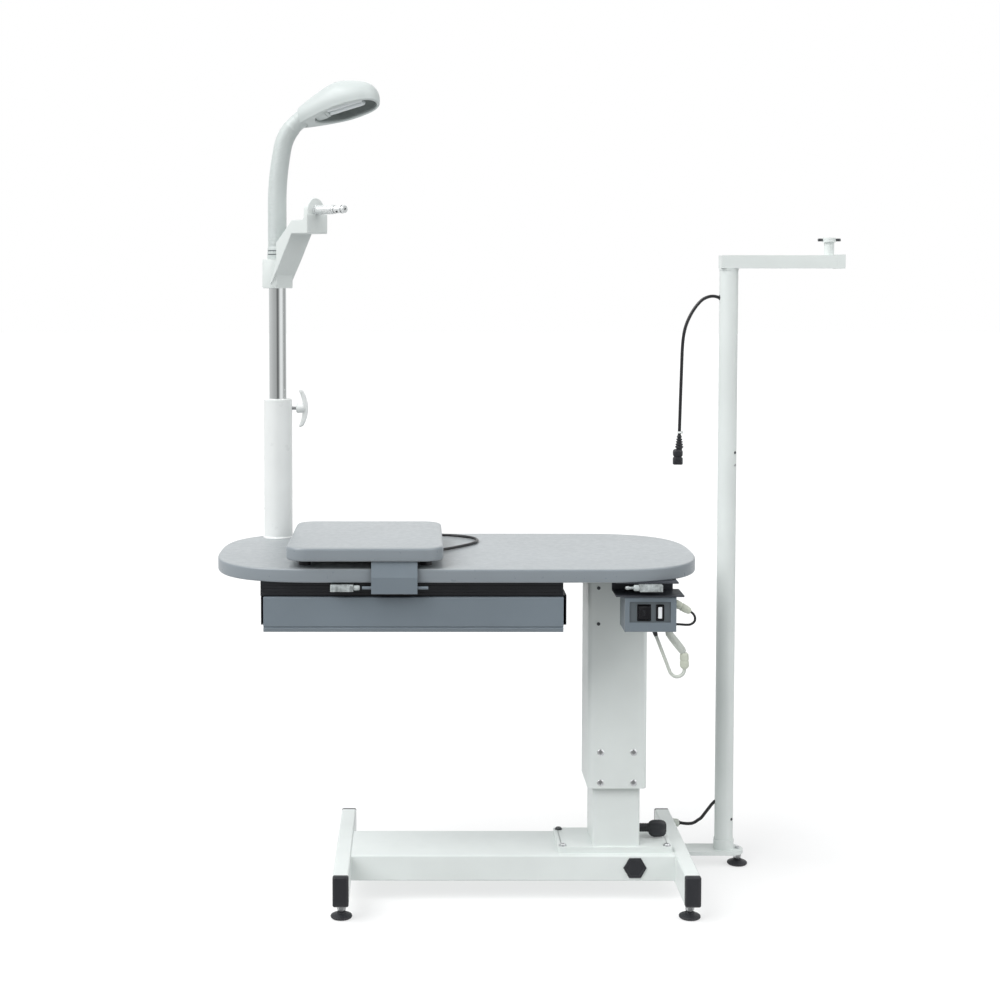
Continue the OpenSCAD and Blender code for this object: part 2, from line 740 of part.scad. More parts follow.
// Turns the lamp head's own frame, x along the head and z up, into place
module at_head() {
    translate([pole_x, pole_y, 0]) rotate([0, 0, -head_turn]) translate([head_x, 0, head_z])
        rotate([0, -head_tilt, 0]) rotate([-head_roll, 0, 0]) children();
}

// Egg-shaped form of the head, made smaller all round by t
module head_form(t) {
    hull() {
        translate([12, 0, 4]) sphere(25 - t, $fn = 32);
        translate([95, 0, 8]) sphere(50 - t, $fn = 32);
        translate([142, 0, 2]) sphere(41 - t, $fn = 32);
    }
}

module lamp_shell() {
    color(sage) at_head() difference() {
        intersection() {
            head_form(0);
            block([3, -70, -15], [200, 70, 80]);
        }
        intersection() {
            head_form(4);
            block([30, -60, -30], [200, 60, 70]);
        }
        sphere(ball_r + 0.5);
    }
}

module lamp_reflector() {
    color(dark) at_head() difference() {
        intersection() {
            head_form(4.3);
            block([31, -60, -10], [200, 60, 70]);
        }
        intersection() {
            head_form(6);
            block([34, -60, -30], [200, 60, 70]);
        }
    }
}

// Twin fluorescent tube in its base
module lamp_tube() {
    color("white") at_head() {
        block([35, -17, -9], [60, 17, 9]);
        for (sy = [-1, 1])
            translate([58, 9 * sy, 0]) rotate([0, 90, 0]) cylinder(r = 6, h = 90);
        block([138, -5, -2.5], [143, 5, 2.5]);
    }
}

// ---- Projector stand ----

module projector_base_arm() {
    x0 = base_x + foot_x - foot_w / 2;
    color(white) difference() {
        union() {
            translate([0, proj_y, foot_lift - arm_plate_t]) linear_extrude(arm_plate_t) {
                translate([x0, -arm_plate_w / 2]) square([431 - x0, arm_plate_w]);
                translate([431, 0]) circle(arm_plate_w / 2);
            }
            translate([proj_x, proj_y, foot_lift]) pipe(proj_d + 4, proj_d + 2 * run, 22);
        }
        translate([arm_foot_x, proj_y, foot_lift - arm_plate_t - 1]) cylinder(r = 5 + run, h = 40);
    }
}

module lower_pole() {
    color(white) difference() {
        translate([proj_x, proj_y, foot_lift]) pipe(proj_d, proj_d - 5, proj_joint_z - foot_lift);
        translate([398 - 4, proj_y, 140]) rotate([0, 90, 0]) cylinder(r = cord_r, h = 10);
    }
}

module upper_pole() {
    color(white) {
        difference() {
            union() {
                translate([proj_x, proj_y, proj_joint_z]) pipe(proj_d, proj_d - 5, proj_top - proj_joint_z);
                translate([proj_x, proj_y, proj_top]) pipe(proj_d + 2, proj_d - 5, 4 - gap);
            }
            translate([398 - 4, proj_y, 1241]) rotate([0, 90, 0]) cylinder(r = cord_r, h = 10);
        }
        translate([proj_x, proj_y, proj_joint_z - 40]) pipe(proj_d - 5 - 2 * run, proj_d - 10, 60);
        translate([proj_x, proj_y, proj_joint_z]) pipe(proj_d - 4, proj_d - 10, 20);
    }
}

module projector_arm() {
    color(white) {
        difference() {
            block([proj_start_x + 17, proj_y - proj_arm_w / 2, proj_arm_z],
                [proj_end_x - 18, proj_y + proj_arm_w / 2, proj_arm_z + proj_arm_h]);
            block([proj_start_x + 40, proj_y - proj_arm_w / 2 + 2, proj_arm_z + 2],
                [proj_end_x - 60, proj_y + proj_arm_w / 2 - 2, proj_arm_z + proj_arm_h - 2]);
        }
        block([proj_start_x, proj_y - proj_arm_w / 2, proj_arm_z],
            [proj_start_x + 17, proj_y + proj_arm_w / 2, proj_arm_z + proj_arm_h]);
        block([proj_end_x - 18, proj_y - proj_arm_w / 2 - 0.6, proj_arm_z - 0.6],
            [proj_end_x, proj_y + proj_arm_w / 2 + 0.6, proj_arm_z + proj_arm_h + 1.5]);
        translate([proj_x, proj_y, proj_arm_z - 34]) cylinder(r = proj_d / 2 - 2.5 - run, h = 34);
    }
}

module projector_post() {
    color(white) translate([post_x, proj_y, proj_arm_z + proj_arm_h]) {
        cylinder(d = post_d, h = 28);
        translate([0, 0, 28]) difference() {
            cylinder(r = 14, h = 9.5);
            translate([-20, 0, 5]) rotate([0, 90, 0]) cylinder(r = 2, h = 40);
        }
    }
}

// Two thumb screws in the sides of the post's disc
module post_screws() {
    z = proj_arm_z + proj_arm_h + 33;
    color(black) for (s = [-1, 1])
        translate([post_x, proj_y, z]) rotate([0, 90 * s, 0]) {
            translate([0, 0, 9]) cylinder(r = 2 - run, h = 6);
            translate([0, 0, 14.5]) cylinder(r = 3.2, h = 10);
        }
}

module cable_gland() {
    x = base_x + foot_x + foot_w / 2;
    color(steel) translate([x, gland_y, gland_z]) rotate([0, 90, 0]) {
        cylinder(r = 10, h = 6, $fn = 6);
        translate([0, 0, 6]) cylinder(r1 = 9, r2 = 7, h = 13.5);
    }
}

module foot_cable() { color(black) cord(foot_route, cord_r, 8, [0, 1, 0], 1); }

module hanging_cord() { color(black) cord(hanging_route, cord_r, 8, [0, 1, 0], 1); }

module cord_tie() {
    color(white) translate([last(hanging_route)[0] + 0.15, proj_y, tie_z]) difference() {
        union() {
            cylinder(r = cord_r + 1.6, h = 4);
            block([cord_r, -2.5, -1], [cord_r + 5, 2.5, 5]);
        }
        translate([0, 0, -1]) cylinder(r = cord_r + 0.1, h = 6);
    }
}

// Moulded appliance connector with its ribbed, tapered strain relief
module cord_connector() {
    end = last(hanging_route);
    color(black) translate([end[0], end[1], 880]) difference() {
        union() {
            translate([-3, 0, 0]) linear_extrude(33) round_rect(21, 18, 4);
            translate([0, 0, 33]) cylinder(r1 = 7, r2 = 4.6, h = end[2] - 880 - 33);
            for (i = [0:3])
                translate([0, 0, 36 + 7 * i]) cylinder(r = 7.2 - 0.5 * i, h = 3.5);
        }
        for (x = [-8, -3, 2])
            translate([x, 0, -1]) block([-1, -2.5, 0], [1, 2.5, 16]);
    }
}

// ---- What is drawn ----

foot_tube_left();
foot_tube_right();
foot_caps();
base_beam();
beam_plug();
base_plate();
base_screws();
inner_column();
actuator_housing();
projector_base_arm();
lower_pole();
upper_pole();
cable_gland();
foot_cable();
hanging_cord();
cord_tie();
cord_connector();
leveller_front_left();
leveller_rear_left();
leveller_front_right();
leveller_rear_right();
leveller_arm();
column_knob();
outer_column();
column_screws();
guide_pads();
actuator_rod();
mount_plate();
tabletop();
front_rail();
roller_catches();
drawer_carcass();
switch_bracket();
control_box();
control_panel();
box_connectors();
box_lead_side();
box_lead_bottom();
outer_pole();
pole_bushing();
tray_plate();
tray_bracket_front();
tray_bracket_rear();
tray_glides();
tray_cable();
drawer_front();
drawer_box();
height_switch();
power_switch();
mast_tube();
clamp_handle();
phoropter_arm();
phoropter_pin();
gooseneck();
lamp_shell();
lamp_reflector();
lamp_tube();
projector_arm();
projector_post();
post_screws();
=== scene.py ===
"""Looks for the instrument table with its refraction stand, lamp and projector stand.

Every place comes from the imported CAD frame. Lengths are in metres; mm() turns millimetres into metres.
"""

import math

import bmesh
import bpy
from mathutils import Matrix, Vector


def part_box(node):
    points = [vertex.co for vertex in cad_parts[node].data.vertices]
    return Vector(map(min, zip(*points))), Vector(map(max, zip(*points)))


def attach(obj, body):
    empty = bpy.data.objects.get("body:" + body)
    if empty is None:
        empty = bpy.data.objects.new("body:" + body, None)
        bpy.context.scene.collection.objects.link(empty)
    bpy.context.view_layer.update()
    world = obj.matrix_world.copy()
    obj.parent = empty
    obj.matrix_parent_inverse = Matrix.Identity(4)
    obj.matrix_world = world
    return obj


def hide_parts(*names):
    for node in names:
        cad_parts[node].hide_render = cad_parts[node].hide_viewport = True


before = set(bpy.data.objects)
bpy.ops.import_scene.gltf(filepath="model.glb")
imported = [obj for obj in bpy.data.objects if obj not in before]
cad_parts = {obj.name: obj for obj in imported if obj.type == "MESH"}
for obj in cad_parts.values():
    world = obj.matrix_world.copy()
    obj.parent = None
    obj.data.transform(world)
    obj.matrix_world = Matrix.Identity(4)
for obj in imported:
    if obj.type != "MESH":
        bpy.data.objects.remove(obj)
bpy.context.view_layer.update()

MM = 0.001
TAU = 2 * math.pi


def mm(*values):
    """A point or a size given in millimetres."""
    return Vector(values) * MM


def in_mm(pairs):
    """Pairs of lengths given in millimetres."""
    return [(a * MM, b * MM) for a, b in pairs]


def low(node):
    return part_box(node)[0]


def high(node):
    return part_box(node)[1]


def middle(node):
    return (low(node) + high(node)) / 2


# ---- Materials ----


def set_inputs(node, values):
    for name, value in values.items():
        node.inputs[name].default_value = value
    return node


def texture_space(tree, stretch=(1, 1, 1)):
    """Object coordinates in metres, stretched to draw out the grain."""
    coordinates = tree.nodes.new("ShaderNodeTexCoord")
    mapping = set_inputs(tree.nodes.new("ShaderNodeMapping"), {"Scale": stretch})
    tree.links.new(coordinates.outputs["Object"], mapping.inputs["Vector"])
    return mapping.outputs["Vector"]


def noise(tree, space, scale, detail=3.0):
    node = set_inputs(tree.nodes.new("ShaderNodeTexNoise"), {"Scale": scale, "Detail": detail})
    tree.links.new(space, node.inputs["Vector"])
    return node.outputs["Fac"]


def ramp(tree, fac, start, end):
    """Blends two colours over the middle levels of a noise."""
    node = tree.nodes.new("ShaderNodeValToRGB")
    for element, position, colour in zip(node.color_ramp.elements, (0.35, 0.65), (start, end)):
        element.position = position
        element.color = (*colour, 1)
    tree.links.new(fac, node.inputs["Fac"])
    return node.outputs["Color"]


def remap(tree, fac, smallest, largest):
    """Spreads the middle levels of a noise over a range."""
    levels = {"From Min": 0.3, "From Max": 0.7, "To Min": smallest, "To Max": largest}
    node = set_inputs(tree.nodes.new("ShaderNodeMapRange"), levels)
    tree.links.new(fac, node.inputs["Value"])
    return node.outputs["Result"]


def shaded(colour, factor):
    return tuple(min(c * factor, 1.0) for c in colour)


def surface(name, colour, roughness, metallic=0.0, grain=900.0, bump=0.05, variation=0.03, stretch=(1, 1, 1),
            coat=0.0, spread=0.06, patches=7.0):
    """A material with uneven colour in large patches, uneven gloss and a fine surface grain."""
    material = bpy.data.materials.new(name)
    material.use_nodes = True
    tree = material.node_tree
    shader = tree.nodes["Principled BSDF"]
    set_inputs(shader, {"Metallic": metallic, "Coat Weight": coat, "Coat Roughness": 0.12})
    wide = texture_space(tree)
    fine = texture_space(tree, stretch)
    tone = ramp(tree, noise(tree, wide, patches), shaded(colour, 1 - variation), shaded(colour, 1 + variation))
    tree.links.new(tone, shader.inputs["Base Color"])
    grain_fac = noise(tree, fine, grain, 2.0)
    gloss = remap(tree, noise(tree, fine, grain * 0.06), roughness - spread, roughness + spread)
    tree.links.new(gloss, shader.inputs["Roughness"])
    relief = set_inputs(tree.nodes.new("ShaderNodeBump"), {"Strength": bump, "Distance": 0.2 * MM})
    tree.links.new(grain_fac, relief.inputs["Height"])
    tree.links.new(relief.outputs["Normal"], shader.inputs["Normal"])
    return material


WHITE = surface("white_powder_coat", (0.745, 0.785, 0.768), 0.42, grain=700, bump=0.25, coat=0.08)
POLE_WHITE = surface("white_gloss_coat", (0.83, 0.85, 0.84), 0.33, grain=500, bump=0.12, coat=0.15)
TOP = surface("top_film", (0.34, 0.365, 0.38), 0.36, grain=1500, bump=0.2, variation=0.02)
# A darker copy of the top film, painted shade for the sides of the worktop and the tray; the tray's cable clamp is
# coloured with it too
DARK_FILM_AND_SIDE_SHADE = surface("dark_film_and_painted_side_shade", (0.245, 0.275, 0.3), 0.33, grain=1500, bump=0.2, variation=0.025)
GREY = surface("grey_enamel", (0.175, 0.21, 0.24), 0.4, grain=1200, bump=0.35, variation=0.04)
# The control panel's grey, also painted shade at the bottom of the neck collar's grooves
PANEL_GREY_AND_GROOVE_SHADE = surface("panel_grey_and_groove_shade", (0.1, 0.118, 0.13), 0.5, grain=2200, bump=0.35, variation=0.04)
BLACK_COAT = surface("black_coat", (0.012, 0.013, 0.016), 0.38, grain=900, bump=0.3, variation=0.15)
SLATE = surface("slate_coat", (0.04, 0.044, 0.054), 0.42, grain=900, bump=0.3, variation=0.12)
BLACK = surface("black_moulding", (0.016, 0.017, 0.021), 0.46, grain=1800, bump=0.4, variation=0.12)
GLOSSY = surface("black_rocker", (0.008, 0.008, 0.01), 0.22, grain=1500, bump=0.1, variation=0.1)
RUBBER = surface("black_rubber", (0.014, 0.015, 0.019), 0.55, grain=1300, bump=0.5, variation=0.15)
SHEATH = surface("black_sheath", (0.01, 0.01, 0.012), 0.36, grain=900, bump=0.2, variation=0.1)
SLEEVE = surface("pale_sleeve", (0.6, 0.63, 0.58), 0.5, grain=900, bump=0.4, variation=0.06)
CREAM = surface("cream_nylon", (0.62, 0.65, 0.55), 0.42, grain=900, bump=0.25, variation=0.05)
CLEAR = surface("milky_nylon", (0.37, 0.4, 0.4), 0.28, grain=700, bump=0.2, variation=0.35, patches=90.0)
SAGE = surface("lamp_plastic", (0.6, 0.645, 0.635), 0.4, grain=1100, bump=0.25, variation=0.02, coat=0.05)
TUBE = surface("lamp_glass", (0.82, 0.86, 0.87), 0.15, grain=300, bump=0.03, variation=0.02, coat=0.5)
REFLECTOR = surface("reflector_grey", (0.36, 0.39, 0.385), 0.42, grain=500, bump=0.1)
STEEL = surface("zinc_steel", (0.56, 0.57, 0.58), 0.32, metallic=1.0, grain=1200, bump=0.15, variation=0.06)
# Dark screws, and painted shade in the grooves of the refractor pin
DARK_SCREW_STEEL_AND_GROOVE_SHADE = surface("dark_screw_and_groove_shade", (0.1, 0.105, 0.11), 0.36, metallic=1.0, grain=900, bump=0.15)
CHROME = surface("chrome", (0.72, 0.74, 0.74), 0.11, metallic=1.0, grain=260, bump=0.04, stretch=(1, 1, 0.04),
                 spread=0.04)
BRIGHT_STEEL = surface("bright_steel", (0.84, 0.86, 0.86), 0.3, metallic=0.5, grain=900, bump=0.08, variation=0.03)
LENS = surface("switch_lens", (0.86, 0.88, 0.9), 0.25, grain=600, bump=0.1, variation=0.02, coat=0.4)
BRASS = surface("contact_brass", (0.6, 0.47, 0.22), 0.3, metallic=1.0, grain=900, bump=0.1)


# ---- Mesh building ----


def put_in_scene(name, data):
    thing = bpy.data.objects.new(name, data)
    bpy.context.scene.collection.objects.link(thing)
    return thing


def bevel_edges(piece, width, segments, sharp):
    """Rounds the edges that turn by more than an angle, by a width in millimetres."""
    edge = piece.modifiers.new("edge", "BEVEL")
    edge.width = width * MM
    edge.segments = segments
    edge.limit_method = "ANGLE"
    edge.angle_limit = math.radians(sharp)
    return edge


def add(name, meshes, body, materials, replaces=None, sharp=35, bevel=0, segments=3):
    """Puts meshes in the scene as a piece that rides on a body, smooth except along sharp edges."""
    mesh = join(name, meshes) if isinstance(meshes, list) else meshes
    for polygon in mesh.polygons:
        polygon.use_smooth = True
    mesh.set_sharp_from_angle(angle=math.radians(sharp))
    for material in materials if isinstance(materials, (list, tuple)) else [materials]:
        mesh.materials.append(material)
    piece = put_in_scene(name, mesh)
    if bevel:
        bevel_edges(piece, bevel, segments, sharp).harden_normals = True
    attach(piece, body)
    if replaces:
        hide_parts(replaces)
    return piece


def to_mesh(name, verts, faces, place=None, indices=None):
    mesh = bpy.data.meshes.new(name)
    mesh.from_pydata([tuple(v) for v in verts], [], faces)
    if indices:
        for polygon, index in zip(mesh.polygons, indices):
            polygon.material_index = index
    if place is not None:
        mesh.transform(place)
    work = bmesh.new()
    work.from_mesh(mesh)
    bmesh.ops.remove_doubles(work, verts=work.verts, dist=1e-7)
    bmesh.ops.recalc_face_normals(work, faces=work.faces)
    work.to_mesh(mesh)
    work.free()
    return mesh


def join(name, meshes):
    """One mesh out of several, each a closed solid, which keep their material indices."""
    work = bmesh.new()
    for mesh in meshes:
        work.from_mesh(mesh)
    mesh = bpy.data.meshes.new(name)
    work.to_mesh(mesh)
    work.free()
    return mesh


def loft(name, rings, place=None, index=0, ends=True):
    """A skin through rings with the same number of points, closed round and capped."""
    count = len(rings[0])
    verts = [p for ring in rings for p in ring]
    faces = []
    for i in range(len(rings) - 1):
        for k in range(count):
            m = (k + 1) % count
            a, b = i * count, (i + 1) * count
            faces.append((a + k, a + m, b + m, b + k))
    if ends:
        faces.append(tuple(reversed(range(count))))
        faces.append(tuple((len(rings) - 1) * count + k for k in range(count)))
    return to_mesh(name, verts, faces, place, [index] * len(faces))


def circle(radius, height, sides, wobble=None):
    """Points round Z. wobble(angle) scales the radius."""
    points = []
    for k in range(sides):
        angle = TAU * k / sides
        r = radius * (wobble(angle) if wobble else 1)
        points.append((r * math.cos(angle), r * math.sin(angle), height))
    return points


def waves(count, depth, level=1.0):
    """A wobble with so many waves round, for ribs and lobes."""
    return lambda angle: level + depth * math.cos(count * angle)


def lathe(name, profile, place=None, sides=48, index=0, wobble=None):
    """Turns a profile of (radius, height) points round Z."""
    rings = [circle(max(radius, 1e-6), height, sides, wobble) for radius, height in profile]
    return loft(name, rings, place, index)


def hollow_lathe(name, profile, place=None, sides=48, index=0):
    """Turns a closed profile that keeps clear of the axis, such as a ring's section."""
    count = len(profile)
    verts, faces = [], []
    for k in range(sides):
        angle = TAU * k / sides
        verts += [(r * math.cos(angle), r * math.sin(angle), z) for r, z in profile]
    for k in range(sides):
        a, b = k * count, ((k + 1) % sides) * count
        for i in range(count):
            j = (i + 1) % count
            faces.append((a + i, a + j, b + j, b + i))
    return to_mesh(name, verts, faces, place, [index] * len(faces))


def ring_section(inner, outer, bottom, top):
    return [(inner, bottom), (outer, bottom), (outer, top), (inner, top)]


def rounded_rectangle(width, depth, radius, steps=8):
    corners = [(1, 1, 0), (-1, 1, 90), (-1, -1, 180), (1, -1, 270)]
    points = []
    for sx, sy, start in corners:
        for i in range(steps + 1):
            angle = math.radians(start + 90 * i / steps)
            centre_x, centre_y = sx * (width / 2 - radius), sy * (depth / 2 - radius)
            points.append((centre_x + radius * math.cos(angle), centre_y + radius * math.sin(angle)))
    return points


def inset(outline, amount):
    """A convex outline moved inwards by an amount."""
    count = len(outline)
    moved = []
    for i in range(count):
        before, here, after = (Vector(outline[(i + d) % count]) for d in (-1, 0, 1))
        along = (after - before).normalized()
        moved.append(here - Vector((along.y, -along.x)) * amount)
    return moved


def slab(name, outline, z_low, z_high, edge, place=None, steps=6, side_shade_index=0, lower_edge=None):
    """A plate with rounded edges. Its sides may take another material than its faces, a darker copy that paints shade
    on them.
    """
    lower = edge if lower_edge is None else lower_edge
    levels = []
    for i in range(steps + 1):
        angle = math.pi / 2 * i / steps
        levels.append((lower * (1 - math.sin(angle)), z_low + lower * (1 - math.cos(angle))))
    for i in range(steps, -1, -1):
        angle = math.pi / 2 * i / steps
        levels.append((edge * (1 - math.sin(angle)), z_high - edge * (1 - math.cos(angle))))
    rings = [[(p[0], p[1], z) for p in inset(outline, amount)] for amount, z in levels]
    mesh = loft(name, rings, place)
    # The steep side faces take the darker material: painted shade
    if side_shade_index:
        for polygon in mesh.polygons:
            if abs(polygon.normal.z) < 0.75:
                polygon.material_index = side_shade_index
    return mesh


def block(name, lower, upper, index=0):
    x0, y0, z0 = lower
    x1, y1, z1 = upper
    ring = [(x0, y0), (x1, y0), (x1, y1), (x0, y1)]
    return loft(name, [[(x, y, z) for x, y in ring] for z in (z0, z1)], None, index)


def aim(direction, origin):
    """The place whose Z axis runs along a direction from an origin."""
    turn = Vector(direction).to_track_quat("Z", "Y").to_matrix().to_4x4()
    return Matrix.Translation(origin) @ turn


def cut(mesh, *cutters):
    """A mesh with closed cutters taken out of it."""
    subject = put_in_scene("subject", mesh)
    helpers = []
    for cutter in cutters:
        helper = put_in_scene("cutter", cutter)
        helpers.append(helper)
        step = subject.modifiers.new("cut", "BOOLEAN")
        step.operation = "DIFFERENCE"
        step.solver = "EXACT"
        step.object = helper
    evaluated = subject.evaluated_get(bpy.context.evaluated_depsgraph_get())
    result = bpy.data.meshes.new_from_object(evaluated)
    for helper in (subject, *helpers):
        bpy.data.objects.remove(helper)
    return result


def ball(name, radius, place=None, rows=24):
    profile = []
    for i in range(rows + 1):
        angle = -math.pi / 2 + math.pi * i / rows
        profile.append((max(radius * math.cos(angle), 1e-5), radius * math.sin(angle)))
    return lathe(name, profile, place)


def hexagon_prism(name, levels, place, index=0):
    """A hexagonal piece through (radius, height) levels in millimetres."""
    return loft(name, [circle(r, z, 6) for r, z in in_mm(levels)], place, index)


def rectangle_rings(width, depth, radius, levels, least=0.0):
    """Rounded rectangles of a column, each moved in by its own amount, all in millimetres."""
    rings = []
    for amount, z in levels:
        sizes = (width - 2 * amount, depth - 2 * amount, max(radius - amount, least))
        rings.append([(x, y, z * MM) for x, y in rounded_rectangle(*(size * MM for size in sizes), 6)])
    return rings


def cap_screw(name, place, radius, height, socket_radius, index=0):
    """A round screw head with a chamfer and a hexagonal socket, in millimetres."""

    def hexagonal(angle):
        slope = (angle + math.pi / 6) % (math.pi / 3) - math.pi / 6
        return math.cos(math.pi / 6) / math.cos(slope)

    head = in_mm([(radius, 0), (radius, height * 0.7), (radius * 0.86, height)])
    socket = in_mm([(socket_radius, height), (socket_radius, height * 0.35)])
    rings = [circle(r, z, 48) for r, z in head] + [circle(r, z, 48, hexagonal) for r, z in socket]
    return loft(name, rings, place, index)


def thread(outer, pitch, z_low, z_high):
    """A screw thread's profile, drawn as rings."""
    profile = []
    turns = max(int((z_high - z_low) / pitch), 1)
    for i in range(turns):
        z = z_low + pitch * i
        profile += [(outer * 0.86, z), (outer, z + pitch * 0.35), (outer, z + pitch * 0.5),
                    (outer * 0.86, z + pitch * 0.9)]
    return profile


def smooth_route(points, steps=8):
    """The smooth curve through a cord's route points."""
    points = [Vector(p) for p in points]
    line = []
    for i in range(len(points) - 1):
        a, b = points[max(i - 1, 0)], points[i]
        c, d = points[i + 1], points[min(i + 2, len(points) - 1)]
        for j in range(steps):
            t = j / steps
            bend, twist = 2 * a - 5 * b + 4 * c - d, 3 * b - a - 3 * c + d
            line.append(0.5 * (2 * b + (c - a) * t + bend * t * t + twist * t**3))
    return line + [points[-1]]


def cord(name, route, radius, body, material, node):
    """A free cord as a curve along its route."""
    line = smooth_route([mm(*p) for p in route])
    curve = bpy.data.curves.new(name, "CURVE")
    curve.dimensions = "3D"
    curve.bevel_depth = radius
    curve.bevel_resolution = 5
    curve.use_fill_caps = True
    spline = curve.splines.new("POLY")
    spline.points.add(len(line) - 1)
    for point, place in zip(spline.points, line):
        point.co = (*place, 1)
    spline.use_smooth = True
    curve.materials.append(material)
    piece = put_in_scene(name, curve)
    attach(piece, body)
    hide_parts(node)
    return piece


def finish_node(node, material, bevel, segments):
    """Keeps a CAD node's shape, softens its edges and gives it its material."""
    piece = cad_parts[node]
    piece.data.materials.clear()
    piece.data.materials.append(material)
    if bevel:
        piece.modifiers.new("weld", "WELD").merge_threshold = 1e-5
        bevel_edges(piece, bevel, segments, 35)
        piece.modifiers.new("normals", "WEIGHTED_NORMAL").keep_sharp = True


# ---- Camera ----

# The photograph's eye: its height, its place across and in front of the table, and its tilt
EYE = mm(-254.8, -3529.4, 1270.2)
EYE_TILT = math.radians(3.0)
camera_data = bpy.data.cameras.new("eye")
camera_data.sensor_width = 36
camera_data.lens = 61.2
camera_data.shift_x = 0.087
camera_data.shift_y = -0.1268
camera = put_in_scene("eye", camera_data)
camera.location = EYE
camera.rotation_euler = (math.pi / 2 - EYE_TILT, 0.0, 0.0021)
bpy.context.scene.camera = camera


# ---- Cords ----

HANGING_ROUTE = [(x, 140, z) for x, z in (
    (398, 1241), (387, 1244), (375, 1243), (362, 1237), (351, 1226), (341, 1212), (332, 1195), (325, 1176),
    (321, 1155), (319, 1130), (318, 1098), (317, 1062), (316, 1025), (315, 985), (314, 944),
)]
FOOT_ROUTE = [
    (329, 180, 79), (336, 179, 78), (343, 177, 78), (349, 174, 79), (355, 171, 81), (361, 168, 85),
    (366, 165, 90), (371, 161, 95), (375, 158, 101), (379, 155, 108), (383, 152, 115),
    (387, 149, 122), (391, 146, 129), (395, 143, 135), (398.5, 140, 140),
]
TRAY_ROUTE = [(x, y, 718.5) for x, y in (
    (-253, 196), (-238, 196), (-218, 195), (-195, 191), (-172, 183), (-150, 169), (-133, 149), (-124, 122),
    (-127, 93), (-139, 65), (-157, 37), (-179, 9), (-201, -14), (-225, -32), (-250, -42),
)]
SIDE_ROUTE = [(x, -190, z) for x, z in (
    (288, 622), (291, 620), (294, 617), (296, 613.5), (297, 610), (297, 606.5), (296, 603), (293.5, 600),
    (290.5, 598), (287, 596.5), (283, 596), (278, 596), (271, 596.5), (264, 597), (257, 597),
)]
BOTTOM_ROUTE = [(x, -190, z) for x, z in (
    (220, 574), (223, 566.3), (226, 558.6), (229.2, 550.4), (232.4, 542.2), (235.6, 534), (239, 525.2),
    (242.3, 516.8), (245.4, 508.4), (249, 500.2), (253.6, 495), (259.4, 492.3), (265.9, 492.5),
    (271.6, 495.6), (275.6, 500.8), (277, 508),
)]


def bar_mesh(name, start, end, sections, index=0, sides=32):
    """A turned piece between two points, from (share of the length, radius in millimetres) sections."""
    start, end = Vector(start), Vector(end)
    length = (end - start).length
    profile = [(radius * MM, share * length) for share, radius in sections]
    return lathe(name, profile, aim(end - start, start), sides, index)


def cord_plug():
    """The moulded connector on the hanging cord, with a ribbed strain relief and three contact slots."""
    bottom = low("cord_connector").z
    end = mm(*HANGING_ROUTE[-1])
    centre = Vector((middle("cord_connector").x, end.y, bottom))
    levels = [(1.2, 0), (0.3, 0.8), (0, 2.2), (0, 13), (0.5, 15), (2.2, 16), (2.2, 18), (0.8, 19), (0.2, 21),
              (0, 27), (0.6, 30), (2.2, 32.4), (4.4, 33.5)]
    body = loft("plug_body", rectangle_rings(21, 18, 6, levels), Matrix.Translation(centre))
    relief = [(6.4, 32), (6.4, 35)]
    for i in range(5):
        z = 35 + 5.4 * i
        r = 9.2 - 0.85 * i
        relief += [(r - 1.9, z + 0.3), (r - 1.9, z + 1.7), (r - 0.2, z + 2), (r, z + 3.4), (r - 0.3, z + 4.7),
                   (r - 1.9, z + 5)]
    relief += [(4.6, 62.6), (4.2, 64)]
    boot = lathe("plug_boot", in_mm(relief), Matrix.Translation((end.x, end.y, bottom)), 40)
    grips = []
    for side in (-1, 1):
        for i in range(3):
            at = centre + mm(0, side * 8.8, 4.5 + 3.4 * i)
            grips.append(block("grip", at - mm(6.5, 0.6, 0.8), at + mm(6.5, 0.6, 0.8)))
    piece = add("cord_plug", [body, boot, *grips], "base", BLACK, "cord_connector",
                bevel=0.3, segments=2)
    contacts = []
    for x in (-5.5, 0, 5.5):
        at = centre + mm(x, 0, 0)
        contacts.append(block("contact", at + mm(-0.6, -3, 0.02), at + mm(0.6, 3, 3)))
    add("plug_contacts", contacts, "base", BRASS)
    return piece


def band(name, centre_line_point, radius, height):
    """A cable tie's band with its locking head."""
    section = ring_section(radius, radius + 1.4 * MM, 0, height)
    ring = hollow_lathe(name, section, Matrix.Translation(centre_line_point))
    head = block(
        name,
        centre_line_point + Vector((radius, -2.4 * MM, -0.8 * MM)),
        centre_line_point + Vector((radius + 4.8 * MM, 2.4 * MM, height + 0.8 * MM)),
    )
    return join(name, [ring, head])


plug = cord_plug()
tie_place = Vector((mm(*HANGING_ROUTE[-1]).x + 0.15 * MM, 0.140, low("cord_tie").z + 1 * MM))
tie = add("tie_band", band("tie_band", tie_place, 3.55 * MM, 4 * MM), "base", POLE_WHITE, "cord_tie",
          bevel=0.3)
cord("projector_lead", HANGING_ROUTE, 3.5 * MM, "base", SHEATH, "hanging_cord")
cord("foot_lead", FOOT_ROUTE, 3.5 * MM, "base", SHEATH, "foot_cable")
cord("tray_lead", TRAY_ROUTE, 3.0 * MM, "tray", SHEATH, "tray_cable")
cord("side_lead", SIDE_ROUTE, 2.4 * MM, "lift", SHEATH, "box_lead_side")
cord("sleeved_lead", BOTTOM_ROUTE, 3.5 * MM, "lift", SLEEVE, "box_lead_bottom")


# ---- CAD shapes that stay ----

